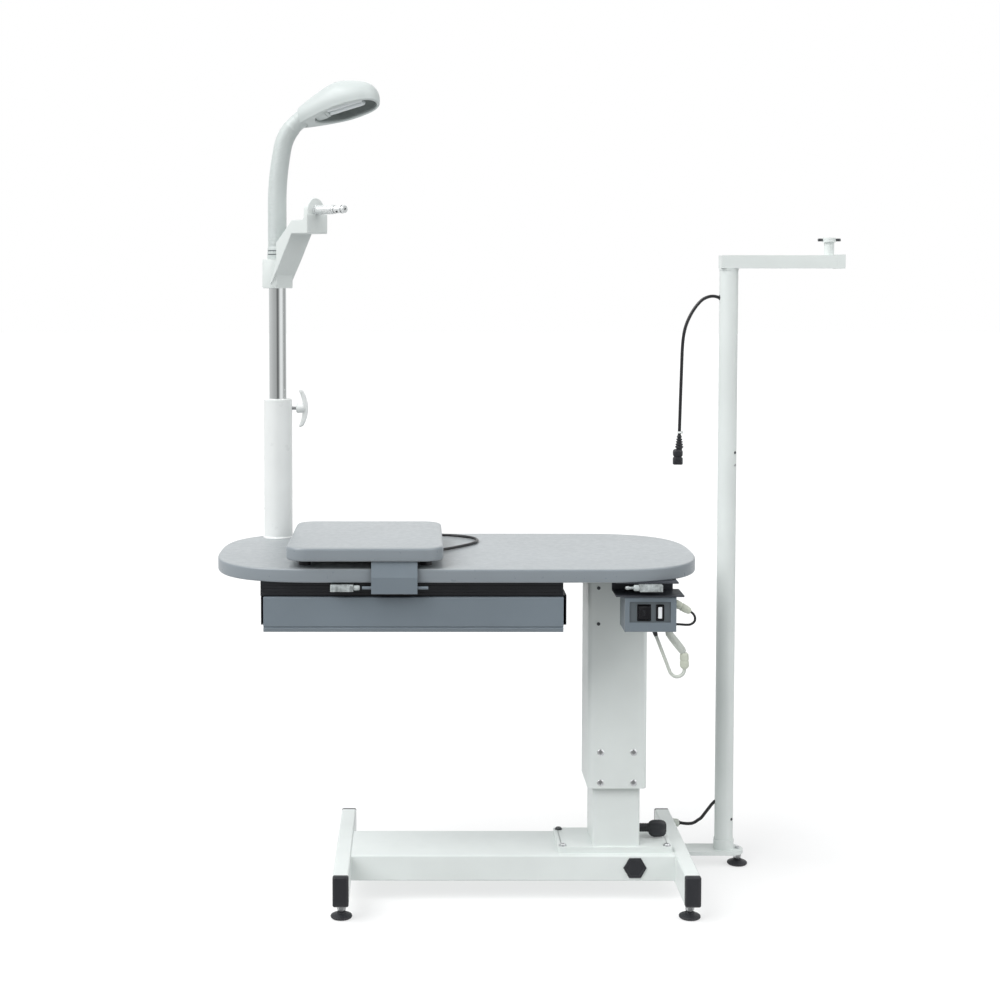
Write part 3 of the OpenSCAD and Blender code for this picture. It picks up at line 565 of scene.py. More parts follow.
# Material, bevel in millimetres and its segments, then the nodes
for material, bevel, segments, nodes in (
    (WHITE, 0, 0, "foot_tube_left foot_tube_right base_beam inner_column outer_column lower_pole upper_pole"),
    (WHITE, 1.2, 3, "base_plate projector_arm"),
    (WHITE, 0.8, 3, "projector_base_arm"),
    (WHITE, 0.6, 2, "projector_post"),
    (POLE_WHITE, 0, 0, "outer_pole"),
    (POLE_WHITE, 1.5, 4, "pole_bushing"),
    (CHROME, 0, 0, "actuator_rod mast_tube"),
    (CREAM, 0, 0, "guide_pads"),
    (BLACK, 0, 0, "actuator_housing"),
    (BLACK, 0.6, 2, "tray_glides"),
    (BLACK_COAT, 0.6, 2, "mount_plate"),
    (BLACK_COAT, 0.4, 2, "drawer_carcass"),
    (BLACK_COAT, 0.35, 2, "front_rail"),
    (SLATE, 0.5, 2, "switch_bracket"),
    (GREY, 1.0, 3, "control_box"),
    (GREY, 0.9, 3, "tray_bracket_front tray_bracket_rear"),
    (GREY, 0.8, 3, "drawer_front"),
    (GREY, 0.5, 2, "drawer_box"),
):
    for node in nodes.split():
        finish_node(node, material, bevel, segments)


# ---- Base ----


def foot_caps():
    """End caps of the foot tubes: a face with a wide chamfer and rounded corners."""
    meshes = []
    size = (high("foot_tube_left") - low("foot_tube_left")) / MM
    levels = [(0, -12), (0, -4.4), (0.5, -2.8), (1.5, -1.3), (2.8, -0.4), (4.4, 0)]
    for tube in ("foot_tube_left", "foot_tube_right"):
        for side in (-1, 1):
            end = (low("foot_caps") if side < 0 else high("foot_caps")).y
            place = aim((0, side, 0), Vector((middle(tube).x, end, middle(tube).z)))
            meshes.append(loft("cap", rectangle_rings(size.x, size.z, 4, levels, 1.6), place))
    return meshes


def leveller(node, body):
    """Levelling foot: flattened rubber bell with a ribbed rim, hexagon nut and threaded stem."""
    centre = middle(node)
    top = high(node).z
    place = Matrix.Translation((centre.x, centre.y, 0))
    pad = [(16, 0), (19.5, 0.5), (21.4, 2), (22, 4.2), (21.2, 6.2), (18, 8), (12, 9.6), (9.5, 10.4), (9, 13),
           (6, 13.4)]
    meshes = [lathe("pad", in_mm(pad), place, 96, 0, waves(24, 0.012, 0.988))]
    nut = hexagon_prism("nut", ((8.2, 16), (9, 16.8), (9, 23.2), (8.2, 24)), place, 1)
    stem = [(4.3 * MM, 0.012)] + thread(5 * MM, 1.5 * MM, 0.0135, top - 0.001) + [(4.2 * MM, top)]
    meshes += [nut, lathe("stem", stem, place, 32, 1)]
    add("levelling_" + node, meshes, body, [RUBBER, STEEL], node, sharp=28)


add("end_caps", foot_caps(), "base", BLACK, "foot_caps", sharp=50)
for place in ("front_left", "rear_left", "front_right", "rear_right", "arm"):
    leveller("leveller_" + place, "foot_" + place)


def beam_plug():
    """Hexagonal cover plug: chamfered rim, dished face and a fine raised ring."""
    centre = middle("beam_plug")
    place = aim((0, -1, 0), Vector((centre.x, high("beam_plug").y, centre.z)))
    return hexagon_prism("plug", ((24, 0), (24, 1.2), (22.6, 3), (18.5, 3), (17.6, 2.1), (3, 2.1)), place)


add("hexagon_plug", beam_plug(), "base", BLACK, "beam_plug", sharp=20, bevel=0.25)


def base_fasteners():
    """Socket screws in the base plate's corners, and the set screws of the projector pole."""
    meshes = []
    plate = middle("base_plate")
    top = high("base_plate").z
    for sx in (-1, 1):
        for sy in (-1, 1):
            at = Vector((plate.x + sx * 0.108, plate.y + sy * 0.053, top))
            dark = 1 if (sx, sy) == (-1, 1) else 0
            washer = in_mm([(8, 0), (8, 0.9), (7.4, 1.2)])
            meshes.append(lathe("washer", washer, Matrix.Translation(at), 48, dark))
            meshes.append(cap_screw("screw", Matrix.Translation(at), 6.5, 4, 3, dark))
    pole = middle("lower_pole")
    outward = Vector((math.sin(math.pi / 4), -math.sin(math.pi / 4), 0))
    for z, index in ((0.104, 1), (0.880, 0), (0.907, 1)):
        at = Vector((pole.x, pole.y, z)) + outward * 19.8 * MM
        meshes.append(cap_screw("set_screw", aim(outward, at), 3, 1.3, 1.4, index))
    return meshes


add("base_fasteners", base_fasteners(), "base", [STEEL, DARK_SCREW_STEEL_AND_GROOVE_SHADE], "base_screws", sharp=25)


def lock_knob():
    """Three-lobed knob with softly rounded lobes, ribbed sleeve and steel stud, turned about X."""
    place = aim((1, 0, 0), mm(207, -10, 130))
    crown = [(4, 25), (9, 25.2), (12, 27), (14.4, 30.5), (15.8, 35), (16, 41), (16, 47), (15.4, 52.5), (13.8, 57.5),
             (11, 61), (7, 62.7), (2, 63)]
    grip = lathe("grip", in_mm(crown), place, 96, 0, waves(3, 0.24))
    sleeve = [(5, 0.4), (8.6, 0.4), (9, 1.2)]
    for i in range(6):
        sleeve += [(9, 3 + 3.4 * i), (8.4, 3.6 + 3.4 * i), (8.4, 4.4 + 3.4 * i), (9, 5 + 3.4 * i)]
    sleeve += [(9, 26.5), (6, 26.6)]
    collar = lathe("sleeve", in_mm(sleeve), place, 48, 0)
    stud = lathe("stud", in_mm([(3.2, -6), (4, -5.2), (4, 1)]), place, 32, 1)
    return [grip, collar, stud]


add("three_lobe_knob", lock_knob(), "lock_knob", [BLACK, STEEL], "column_knob")


def column_fasteners():
    """Button-head screws on the outer column's front, with two dark screws higher up."""
    meshes = []
    front = low("outer_column").y
    centre = middle("outer_column").x
    lift_low = low("outer_column").z
    for sx in (-1, 1):
        for z in (0.012, 0.075):
            at = Vector((centre + sx * 0.034, front, lift_low + z))
            dome = [(7.0, 0), (6.9, 0.5), (5.9, 1.2), (4.4, 1.65), (3.4, 1.75), (3.0, 0.7)]
            meshes.append(lathe("button", in_mm(dome), aim((0, -1, 0), at), 48, 0))
    for z in (0.575, 0.649):
        at = Vector((centre - 0.040, front, z))
        meshes.append(cap_screw("dark", aim((0, -1, 0), at), 3.6, 0.95, 1.7, 1))
    return meshes


add("column_fasteners", column_fasteners(), "lift", [STEEL, DARK_SCREW_STEEL_AND_GROOVE_SHADE], "column_screws", sharp=25)


def gland():
    """Cable gland: hexagon base, ribbed dome nut and a tapered bush round the cable."""
    place = aim((1, 0, 0), Vector((low("cable_gland").x, 0.180, 0.079)))
    base = hexagon_prism("base", ((9.6, 0), (10, 0.6), (10, 5.4), (9.4, 6)), place)
    dome = [(9, 6), (9, 10), (8.6, 13), (7.6, 15.4), (6.2, 16.6), (5.4, 17)]
    nut = lathe("nut", in_mm(dome), place, 96, 0, waves(12, 0.03))
    bush = lathe("bush", in_mm([(5, 16.5), (4.8, 18), (4.1, 19.5)]), place, 32, 1)
    return [base, nut, bush]


add("foot_gland", gland(), "base", [SLEEVE, RUBBER], "cable_gland")


# A grommet where the hanging cord goes into the pole's side
GROMMET = in_mm([(3.5, -1), (5.7, -1), (5.9, 0.6), (5.1, 1.6), (3.5, 1.8)])
grommet_place = aim((-1, 0, 0), mm(398.6, 140, 1241))
add("upper_grommet", hollow_lathe("upper_grommet", GROMMET, grommet_place, 40), "base", RUBBER)


# ---- Table ----


def table_outline():
    """Straight long sides with full, squared-off round ends."""
    half = (high("tabletop") - low("tabletop")) / 2
    centre = middle("tabletop")
    reach, power, steps = 230 * MM, 2.8, 40
    quarter = []
    for i in range(steps + 1):
        angle = math.pi / 2 * i / steps
        x = reach * max(math.cos(angle), 0) ** (2 / power)
        y = half.y * max(math.sin(angle), 0) ** (2 / power)
        quarter.append((half.x - reach + x, y))
    turned = quarter[::-1]
    outline = quarter + [(-x, y) for x, y in turned]
    outline += [(-x, -y) for x, y in quarter[1:]] + [(x, -y) for x, y in turned[:-1]]
    return [(centre.x + x, centre.y + y) for x, y in outline]


def tabletop():
    return slab("worktop", table_outline(), low("tabletop").z, high("tabletop").z, 4.5 * MM, steps=8, side_shade_index=1,
                lower_edge=3 * MM)


def tray():
    """Instrument tray with large round corners and a rounded rim, and the block that holds its cable."""
    lower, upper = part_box("tray_plate")
    plate_low = 0.731
    width, depth = upper.x - lower.x, upper.y - lower.y
    outline = rounded_rectangle(width, depth, 40 * MM, 16)
    place = Matrix.Translation(((lower.x + upper.x) / 2, (lower.y + upper.y) / 2, 0))
    # The tray's sides take the second material, the darker film: painted shade
    plate = slab("tray", outline, plate_low, upper.z, 6 * MM, place, 8, 1, 4 * MM)
    clamp = block("clamp", mm(-262, -52, 716), mm(-250, -32, 731.2), 1)
    return [plate, clamp]


# The sides of the worktop and the tray take a darker copy of the top film: painted shade
add("worktop", tabletop(), "lift", [TOP, DARK_FILM_AND_SIDE_SHADE], "tabletop", sharp=50)
add("instrument_tray", tray(), "tray", [TOP, DARK_FILM_AND_SIDE_SHADE], "tray_plate", sharp=50)


def catches():
    """Travel stops: ribbed milky bodies with a soft roller and a plunger."""
    meshes = []
    y_front, y_back = -0.248, -0.2235
    for x0, x1 in ((-423, -378), (180, 225)):
        base = block("body", (x0 * MM, y_front + 0.001, 0.6715), (x1 * MM, y_back, 0.6845))
        meshes.append(base)
        for i in range(4):
            x = x0 + 6 + 9.5 * i
            meshes.append(block("rib", (x * MM, y_front, 0.6722), ((x + 5) * MM, y_front + 0.002, 0.6838)))
    for name, start, end, sections in (
        ("roller", -378, -365, [(0, 2.6), (0.06, 4.4), (0.2, 5), (0.8, 5), (0.94, 4.4), (1, 2.6)]),
        ("roller", 168, 180, [(0, 3), (0.06, 5.4), (0.2, 6), (0.8, 6), (0.94, 5.4), (1, 3)]),
        ("plunger", 152, 169, [(0, 2), (0.1, 3.2), (0.4, 3.5), (0.5, 2.4), (1, 2.4)]),
    ):
        meshes.append(bar_mesh(name, mm(start, -243, 679), mm(end, -243, 679), sections))
    return meshes


add("travel_catches", catches(), "lift", CLEAR, "roller_catches", bevel=0.5, segments=2)


# ---- Control box ----

WIDE_X, SLIM_X, ROCKER_Z = 191.5, 223.0, 626.5
BOX_FRONT = -224.0


def control_panel():
    """The recessed panel, in strips round the openings of the two rockers."""
    face, bottom, top = BOX_FRONT + 2, 607.1, 647.9
    wide, slim = 11.3, 6.0
    strips = [(x0, x1, bottom, top) for x0, x1 in (
        (163.1, WIDE_X - wide), (WIDE_X + wide, SLIM_X - slim), (SLIM_X + slim, 243.9),
    )]
    for x, half in ((WIDE_X, wide), (SLIM_X, slim)):
        strips += [(x - half, x + half, z0, z1) for z0, z1 in ((bottom, ROCKER_Z - 15), (ROCKER_Z + 15, top))]
    return [block("strip", mm(x0, face, z0), mm(x1, face + 3, z1)) for x0, x1, z0, z1 in strips]


def bezel(x, half_width, half_height):
    """A raised rocker surround with a sloping inner rim."""
    outer = rounded_rectangle(2 * half_width * MM, 2 * half_height * MM, 1.6 * MM, 4)
    inner = [(p[0], p[1]) for p in inset(outer, 1.9 * MM)]
    inner_low = [(p[0], p[1]) for p in inset(outer, 2.1 * MM)]
    place = aim((0, -1, 0), mm(x, BOX_FRONT + 2, ROCKER_Z))
    rings = [
        [(a, b, 0.0) for a, b in outer],
        [(a, b, 0.9 * MM) for a, b in outer],
        [(a, b, 1.4 * MM) for a, b in inset(outer, 0.5 * MM)],
        [(a, b, 1.4 * MM) for a, b in inset(outer, 1.4 * MM)],
        [(a, b, 0.6 * MM) for a, b in inner],
        [(a, b, -2.0 * MM) for a, b in inner_low],
    ]
    return loft("bezel", rings, place, 0, ends=False)


def rocker(name, x, width, node, body):
    """A rocker with two hollowed slopes that meet in a ridge."""
    pivot = mm(x, -217, ROCKER_Z)
    columns, rows = 8, 20
    half_height = 12.9
    verts, faces = [], []
    for i in range(rows + 1):
        t = -1 + 2 * i / rows
        z = half_height * t
        face = -6.6 - 1.4 * abs(t) ** 1.6
        for j in range(columns + 1):
            s = -1 + 2 * j / columns
            dish = 0.35 * (1 - s * s) * (1 - abs(t)) * abs(t) * 4
            verts.append(pivot + mm(s * width / 2, face + dish, z))
    count = columns + 1
    for i in range(rows):
        for j in range(columns):
            a = i * count + j
            faces.append((a, a + 1, a + count + 1, a + count))
    b = len(verts)
    for z, y in ((-half_height, -5), (-6, 2), (6, 2), (half_height, -5)):
        for s in (-1, 1):
            verts.append(pivot + mm(s * width / 2, y, z))
    faces += [(b, b + 1, b + 3, b + 2), (b + 2, b + 3, b + 5, b + 4), (b + 4, b + 5, b + 7, b + 6)]
    faces.append((b, b + 1, *reversed(range(count))))
    top = rows * count
    faces.append((b + 7, b + 6, *[top + j for j in range(count)]))
    left = [i * count for i in range(rows + 1)]
    right = [i * count + columns for i in range(rows + 1)]
    faces.append((*left, b + 6, b + 4, b + 2, b))
    faces.append((*reversed(right), b + 1, b + 3, b + 5, b + 7))
    add(name, to_mesh(name, verts, faces), body, GLOSSY, node, sharp=40, bevel=0.4, segments=2)


add("switch_panel", control_panel(), "lift", PANEL_GREY_AND_GROOVE_SHADE, "control_panel")
add("wide_bezel", bezel(WIDE_X, 13.5, 16.5), "lift", GLOSSY, sharp=40)
add("slim_bezel", bezel(SLIM_X, 8.0, 16.2), "lift", GLOSSY, sharp=40)
rocker("height_rocker", WIDE_X, 21.6, "height_switch", "height_rocker")
rocker("power_rocker", SLIM_X, 11.2, "power_switch", "power_rocker")


def rocker_marks():
    """Raised grip bars across the middle of the wide rocker."""
    meshes = []
    for i in range(-2, 3):
        at = mm(WIDE_X, -223.75, ROCKER_Z + 2.4 * i)
        meshes.append(block("bar", at - mm(2.6, 0.4, 0.5), at + mm(2.6, 0.4, 0.5)))
    return meshes


add("grip_bars", rocker_marks(), "height_rocker", BLACK, bevel=0.2, segments=2)


# The pale window in the slim rocker
window = rounded_rectangle(7.6 * MM, 23 * MM, 1.2 * MM, 4)
window_place = aim((0, -1, 0), mm(SLIM_X, -223.4, ROCKER_Z))
add("power_lens", slab("lens", window, -1 * MM, 1.3 * MM, 0.4 * MM, window_place, 3), "power_rocker", LENS)


def connectors():
    """Lead connectors at the box: ribbed cream housings, black glands and a pale heat-shrink sleeve."""
    cream, black, pale = 0, 1, 2
    side_ribs = [(0, 7.4), (0.05, 8), (0.3, 8), (0.32, 7.3), (0.4, 7.3), (0.42, 8), (0.7, 7.6), (0.92, 6.4), (1, 4)]
    line_ribs = [(0, 4.5), (0.1, 8), (0.16, 9), (0.45, 9), (0.48, 8.2), (0.56, 8.2), (0.59, 9), (0.9, 8.6), (1, 6)]
    meshes = []
    # Each with its start and end across and up, in the plane of the leads
    for name, (x0, z0), (x1, z1), sections, index in (
        ("inlet", (254.9, 640), (258.5, 639.6), [(0, 9), (0.8, 9), (1, 8)], cream),
        ("side_body", (257.5, 639.3), (288, 622), side_ribs, cream),
        ("line_body", (277, 508), (276, 540), line_ribs, cream),
        ("sleeve", (275.6, 540.5), (246, 578), [(0, 5.5), (0.12, 7.6), (0.5, 8), (0.9, 7.6), (1, 6.5)], pale),
        ("sleeve_end", (246, 574), (246, 588.1), [(0, 6.5), (0.4, 7.4), (1, 7.8)], pale),
        ("gland", (216, 588.1), (216, 585), [(0, 6), (0.7, 6), (1, 5.2)], black),
        ("boot", (216, 585.5), (220, 574), [(0, 4.6), (0.6, 4.6), (1, 3.9)], black),
        ("outlet", (254.9, 597), (257, 597), [(0, 5), (0.6, 4.8), (1, 3.6)], black),
    ):
        meshes.append(bar_mesh(name, mm(x0, -190, z0), mm(x1, -190, z1), sections, index))
    return meshes


add("lead_connectors", connectors(), "lift", [CREAM, BLACK, SLEEVE], "box_connectors")


# ---- Refraction stand ----

POLE = Vector((middle("mast_tube").x, middle("mast_tube").y, 0))
POLE_RADIUS = (high("outer_pole").x - low("outer_pole").x) / 2
ARM_TURN = math.radians(-38)
HEAD_TURN = math.radians(-15)
HUB_TOP = 1.324


def about_pole(angle, height=0):
    """The place on the pole's centre line at a height, turned about it."""
    return Matrix.Translation(POLE + Vector((0, 0, height))) @ Matrix.Rotation(angle, 4, "Z")


def handle():
    """Clamp screw: steel shank, round hub and a crescent wing with swollen tips."""
    at = Vector((POLE.x, POLE.y, middle("clamp_handle").z))
    shank = bar_mesh("shank", at + mm(20, 0, 0), at + mm(42, 0, 0), [(0, 4), (1, 4)], 1, 24)
    swell = [(0, 8), (0.08, 10), (0.3, 11), (0.75, 10), (0.95, 7.5), (1, 4)]
    hub = bar_mesh("hub", at + mm(40, 0, 0), at + mm(58, 0, 0), swell)
    rings = []
    steps, sides = 36, 20
    for i in range(steps + 1):
        t = -1 + 2 * i / steps
        z = 41.2 * t
        outer = -9 + math.sqrt(75**2 - z * z)
        inner = -36 + math.sqrt(90**2 - z * z)
        centre_x = (outer + inner) / 2
        # The wing's tips are rounded off
        tip = max(abs(t) - 0.94, 0) / 0.065
        taper = math.sqrt(max(1 - tip**2, 0.05))
        half_x = (outer - inner) / 2 * taper
        half_y = (4.4 + 1.4 * abs(t) ** 2) * taper
        ring = []
        for k in range(sides):
            angle = TAU * k / sides
            c, s = math.cos(angle), math.sin(angle)
            x = centre_x + half_x * math.copysign(abs(c) ** 0.7, c)
            y = half_y * math.copysign(abs(s) ** 0.7, s)
            ring.append(tuple(at + mm(x, y, z)))
        rings.append(ring)
    return [hub, shank, loft("wing", rings)]


add("clamp_wing", handle(), "clamp", [POLE_WHITE, STEEL], "clamp_handle", sharp=60)


# The rolled collar at the white pole's foot
COLLAR = [(POLE_RADIUS + out * MM, z) for out, z in (
    (0.02, 0.7151), (2.4, 0.7151), (2.4, 0.7168), (0.4, 0.7186), (0.02, 0.7186),
)]
add("pole_foot_ring", hollow_lathe("foot", COLLAR, Matrix.Translation(POLE), 72), "lift", POLE_WHITE)


def arm():
    """The cranked arm as one casting: round hub, rising crank, end block and round-topped lug."""
    place = about_pole(ARM_TURN)
    half = 33 * MM
    section = [(19.1, 1261.5), (31, 1261.1), (32.4, 1261.8), (33, 1263.6), (33, 1321.6), (32.4, 1323.4), (31, 1324),
               (12.2, 1323.8), (12.2, 1316), (19.1, 1315.5)]
    hub = hollow_lathe("hub", in_mm(section), place, 96)
    # The hub is flat below the crank, so that the crank's lower face runs on over it
    flat = [(0.0215, 1.251), (0.0215, 1.2907), (0.071, 1.3788), (0.116, 1.378), (0.116, 1.251)]
    hub = cut(hub, loft("flat", [[(x, y, z) for x, z in flat] for y in (-0.04, 0.04)], place))
    # The crank's side: along its lower edge, then back along its upper edge
    side = [(8, 1268), (14, 1276), (40, 1320.7), (71, 1378), (101, 1378), (114, 1378), (116, 1380), (116, 1419),
            (112, 1419), (101, 1407), (71, 1407), (51, 1385), (26, 1359), (26, 1324)]
    crank = loft("crank", [[(x, y, z) for x, z in in_mm(side)] for y in (-half, half)], place)
    radius, centre, foot, steps = 27 * MM, 1.427, 1.402, 24
    profile = [(-radius, foot)]
    for i in range(steps + 1):
        angle = math.pi * i / steps
        profile.append((-radius * math.cos(angle), centre + radius * math.sin(angle)))
    profile.append((radius, foot))
    rings = [[(x, y, z) for y, z in profile] for x in (0.1002, 0.113)]
    lug = loft("lug", rings, place)
    return hub, crank, lug


hub_mesh, crank_mesh, lug_mesh = arm()
add("arm_hub", hub_mesh, "refractor_arm", WHITE, "phoropter_arm", sharp=30)
add("arm_crank", crank_mesh, "refractor_arm", WHITE, sharp=20, bevel=4.5, segments=5)
add("arm_lug", lug_mesh, "refractor_arm", WHITE, sharp=40, bevel=2.5, segments=4)


def pin():
    """Stepped steel pin with a washer at its root, a set screw and a drilled end. Two thin dark rings on its shaft
    are painted shade where it has grooves.
    """
    turned = about_pole(ARM_TURN, 1.428)
    place = turned @ Matrix.Rotation(math.pi / 2, 4, "Y")
    profile = [(9.9, 104), (9.9, 159.2), (9.2, 160), (8.5, 160), (8.5, 192.6), (7.6, 194), (3, 194), (3, 176),
               (0.2, 175)]
    washer = [(10.1, 113.2), (11.6, 113.2), (11.6, 116.4), (11.1, 117), (10.1, 117)]
    meshes = [lathe("shaft", in_mm(profile), place, 64), hollow_lathe("washer", in_mm(washer), place, 64)]
    # Thin dark rings, raised a little, painted shade standing for grooves
    for x in (166, 186):
        groove_shade = in_mm(ring_section(8.52, 8.85, x, x + 1.2))
        meshes.append(hollow_lathe("groove_shade", groove_shade, place, 64, 1))
    out = Vector((0, -0.8, -0.6))
    meshes.append(cap_screw("set", turned @ aim(out, mm(176, 0, 0) + out * 8.2 * MM), 2.4, 1.2, 1.2, 1))
    return meshes


add("refractor_pin", pin(), "refractor_arm", [BRIGHT_STEEL, DARK_SCREW_STEEL_AND_GROOVE_SHADE], "phoropter_pin", sharp=30)


LEAN_Z = 1.441
LEAN_RADIUS = 600 * MM
LEAN_ANGLE = math.radians(12)
BEND_RADIUS = 92 * MM
BEND_ANGLE = math.radians(58)
NECK_LENGTH = LEAN_Z - HUB_TOP + LEAN_RADIUS * LEAN_ANGLE + BEND_RADIUS * (BEND_ANGLE - LEAN_ANGLE)


def neck_point(distance):
    """A point on the neck's centre line and the angle there: straight, then a long lean, then a short bend."""
    past = distance - (LEAN_Z - HUB_TOP)
    if past < 0:
        return Vector((0, 0, HUB_TOP + distance)), 0.0
    angle = min(past / LEAN_RADIUS, LEAN_ANGLE)
    point = Vector((LEAN_RADIUS * (1 - math.cos(angle)), 0, LEAN_Z + LEAN_RADIUS * math.sin(angle)))
    past -= LEAN_RADIUS * LEAN_ANGLE
    if past > 0:
        bend = min(LEAN_ANGLE + past / BEND_RADIUS, BEND_ANGLE)
        point.x += BEND_RADIUS * (math.cos(LEAN_ANGLE) - math.cos(bend))
        point.z += BEND_RADIUS * (math.sin(bend) - math.sin(LEAN_ANGLE))
        angle = bend
    return point, angle


def neck():
    """Corrugated gooseneck: collar with two grooves whose bottoms are painted dark as shade, fine ribs all along and
    a smooth end.
    """
    place = about_pole(HEAD_TURN)
    sections = in_mm([(0.4, 20.5), (0.5, 22), (9.4, 22.3), (9.6, 20.9), (11.4, 20.9), (11.6, 22.1), (17.4, 21.9),
                      (17.6, 20.7), (19.4, 20.7), (19.6, 21.6), (26, 21.2)])
    pitch = 3.0 * MM
    ribs = int((NECK_LENGTH - 50 * MM) / pitch)
    for i in range(ribs):
        start = 28 * MM + i * pitch
        shrink = 1 - 0.06 * (i / ribs) ** 2
        for share, r in ((0.0, 19.9), (0.22, 20.45), (0.5, 20.5), (0.78, 20.45), (0.95, 19.9)):
            sections.append((start + share * pitch, r * MM * shrink))
    end_start = 28 * MM + ribs * pitch
    for i in range(5):
        sections.append((end_start + (NECK_LENGTH - end_start) * (i + 1) / 5, 18.3 * MM))
    sides = 56
    rings = []
    for distance, radius in sections:
        centre, bend = neck_point(distance)
        across = Vector((math.cos(bend), 0, -math.sin(bend)))
        ring = []
        for k in range(sides):
            angle = TAU * k / sides
            ring.append(centre + radius * (math.cos(angle) * across + math.sin(angle) * Vector((0, 1, 0))))
        rings.append(ring)
    end, _ = neck_point(NECK_LENGTH)
    meshes = [loft("tube", rings, place), ball("end", 19.3 * MM, place @ Matrix.Translation(end), 12)]
    meshes.append(lathe("stub", in_mm([(11.9, 1315.8), (11.9, 1326)]), place))
    # Dark rings at the bottoms of the collar's grooves: painted shade
    for distance in (9.6, 17.6):
        z = HUB_TOP + distance * MM
        groove_shade = ring_section(20.6 * MM, 21 * MM, z, z + 1.8 * MM)
        meshes.append(hollow_lathe("groove_shade", groove_shade, place, sides, 1))
    return meshes


add("gooseneck_tube", neck(), "neck", [SAGE, PANEL_GREY_AND_GROOVE_SHADE], "gooseneck", sharp=50)


# ---- Lamp head ----

HEAD_TILT = math.radians(-15)
HEAD_ROLL = math.radians(-17)
NECK_END, _ = neck_point(NECK_LENGTH)
# The head's own frame: X along the head from the neck, Z up through its crown
HEAD = (
    about_pole(HEAD_TURN)
    @ Matrix.Translation(NECK_END)
    @ Matrix.Rotation(HEAD_TILT, 4, "Y")
    @ Matrix.Rotation(HEAD_ROLL, 4, "X")
)

# The balls, in millimetres, that the outside and the cavity are stretched over
OUTER_BALLS = (((12, 0, 4), 25.0), ((52, 0, 6), 37.0), ((96, 0, 8), 50.0), ((122, 0, 4.6), 45.5), ((142, 0, 2), 41.0))
CAVITY_BALLS = (((56, 0, -5), 24.0), ((95, 0, 8), 43.0), ((142, 0, 2), 34.5))


def stretched(balls, normal, shrink=0.0):
    """The point of a smooth skin over some balls whose surface faces along a normal."""
    reach = [Vector(centre).dot(normal) + radius for centre, radius in balls]
    most = max(reach)
    weights = [math.exp((r - most) / 5) for r in reach]
    total = sum(weights)
    point = Vector((0, 0, 0))
    for (centre, radius), weight in zip(balls, weights):
        point += (Vector(centre) + (radius - shrink) * normal) * (weight / total)
    return point


def facing(turn, rise):
    return Vector((math.cos(rise) * math.cos(turn), math.cos(rise) * math.sin(turn), math.sin(rise)))


def rise_at(balls, turn, level, shrink=0.0):
    """The rise at which the skin over the balls stands at a level."""
    lowest, highest = math.radians(-75), math.radians(60)
    for _ in range(40):
        half = (lowest + highest) / 2
        if stretched(balls, facing(turn, half), shrink).z < level:
            lowest = half
        else:
            highest = half
    return (lowest + highest) / 2


def skin_rings(balls, level, shrink=0.0, sides=96, rows=22):
    """Rings from the level up to the crown."""
    starts = [rise_at(balls, TAU * k / sides, level, shrink) for k in range(sides)]
    rings = []
    for i in range(rows + 1):
        t = i / rows * 0.995
        ring = []
        for k, start in enumerate(starts):
            ring.append(stretched(balls, facing(TAU * k / sides, start + (math.pi / 2 - start) * t), shrink))
        rings.append(ring)
    return rings


def moved_in(ring, amount, drop):
    """A ring moved towards its inside by an amount, and down."""
    count = len(ring)
    result = []
    for k, point in enumerate(ring):
        along = ring[(k + 1) % count] - ring[k - 1]
        inward = Vector((-along.y, along.x, 0)).normalized()
        result.append(point + inward * amount - Vector((0, 0, drop)))
    return result


def scaled(rings):
    return [[point * MM for point in ring] for ring in rings]


def lamp_shell():
    """The hood: an egg-shaped dome with a thick soft rim and a cavity that stops short of the neck."""
    lip = 3.4
    outside = skin_rings(OUTER_BALLS, -15 + lip)
    inside = skin_rings(CAVITY_BALLS, -15 + 2.2)
    rings = list(reversed(outside))
    for i in range(1, 6):
        angle = math.pi / 2 * i / 5
        rings.append(moved_in(outside[0], lip * (1 - math.cos(angle)), lip * math.sin(angle)))
    for i in range(5):
        angle = math.pi / 2 * i / 5
        rings.append(moved_in(inside[0], -2.2 * (1 - math.sin(angle)), 2.2 * math.cos(angle)))
    rings += inside
    return loft("hood", scaled(rings))


# The hood stops short of the neck's ball and has a round seat for it
shell = cut(lamp_shell(), block("end", mm(-40, -40, -40), mm(3, 40, 40)), ball("seat", 20.1 * MM))
shell.transform(HEAD)
add("lamp_hood", shell, "lamp_head", SAGE, "lamp_shell", sharp=48)


# The reflector that lines the cavity
outer, inner = (skin_rings(CAVITY_BALLS, -9.5, shrink) for shrink in (0.25, 1.9))
lining = loft("lining", scaled(outer[::-1] + inner), HEAD)
add("lamp_lining", lining, "lamp_head", REFLECTOR, "lamp_reflector", sharp=50)


def capsule(name, start, end, radius, index=0):
    """A tube with round ends within its two end points, its radius in millimetres."""
    length = (Vector(end) - Vector(start)).length / MM
    sections = []
    for i in range(7):
        angle = math.pi / 2 * i / 6
        sections.append((radius * (1 - math.cos(angle)) / length, max(radius * math.sin(angle), 0.01)))
    sections += [(1 - share, r) for share, r in reversed(sections)]
    return bar_mesh(name, start, end, sections, index, 40)


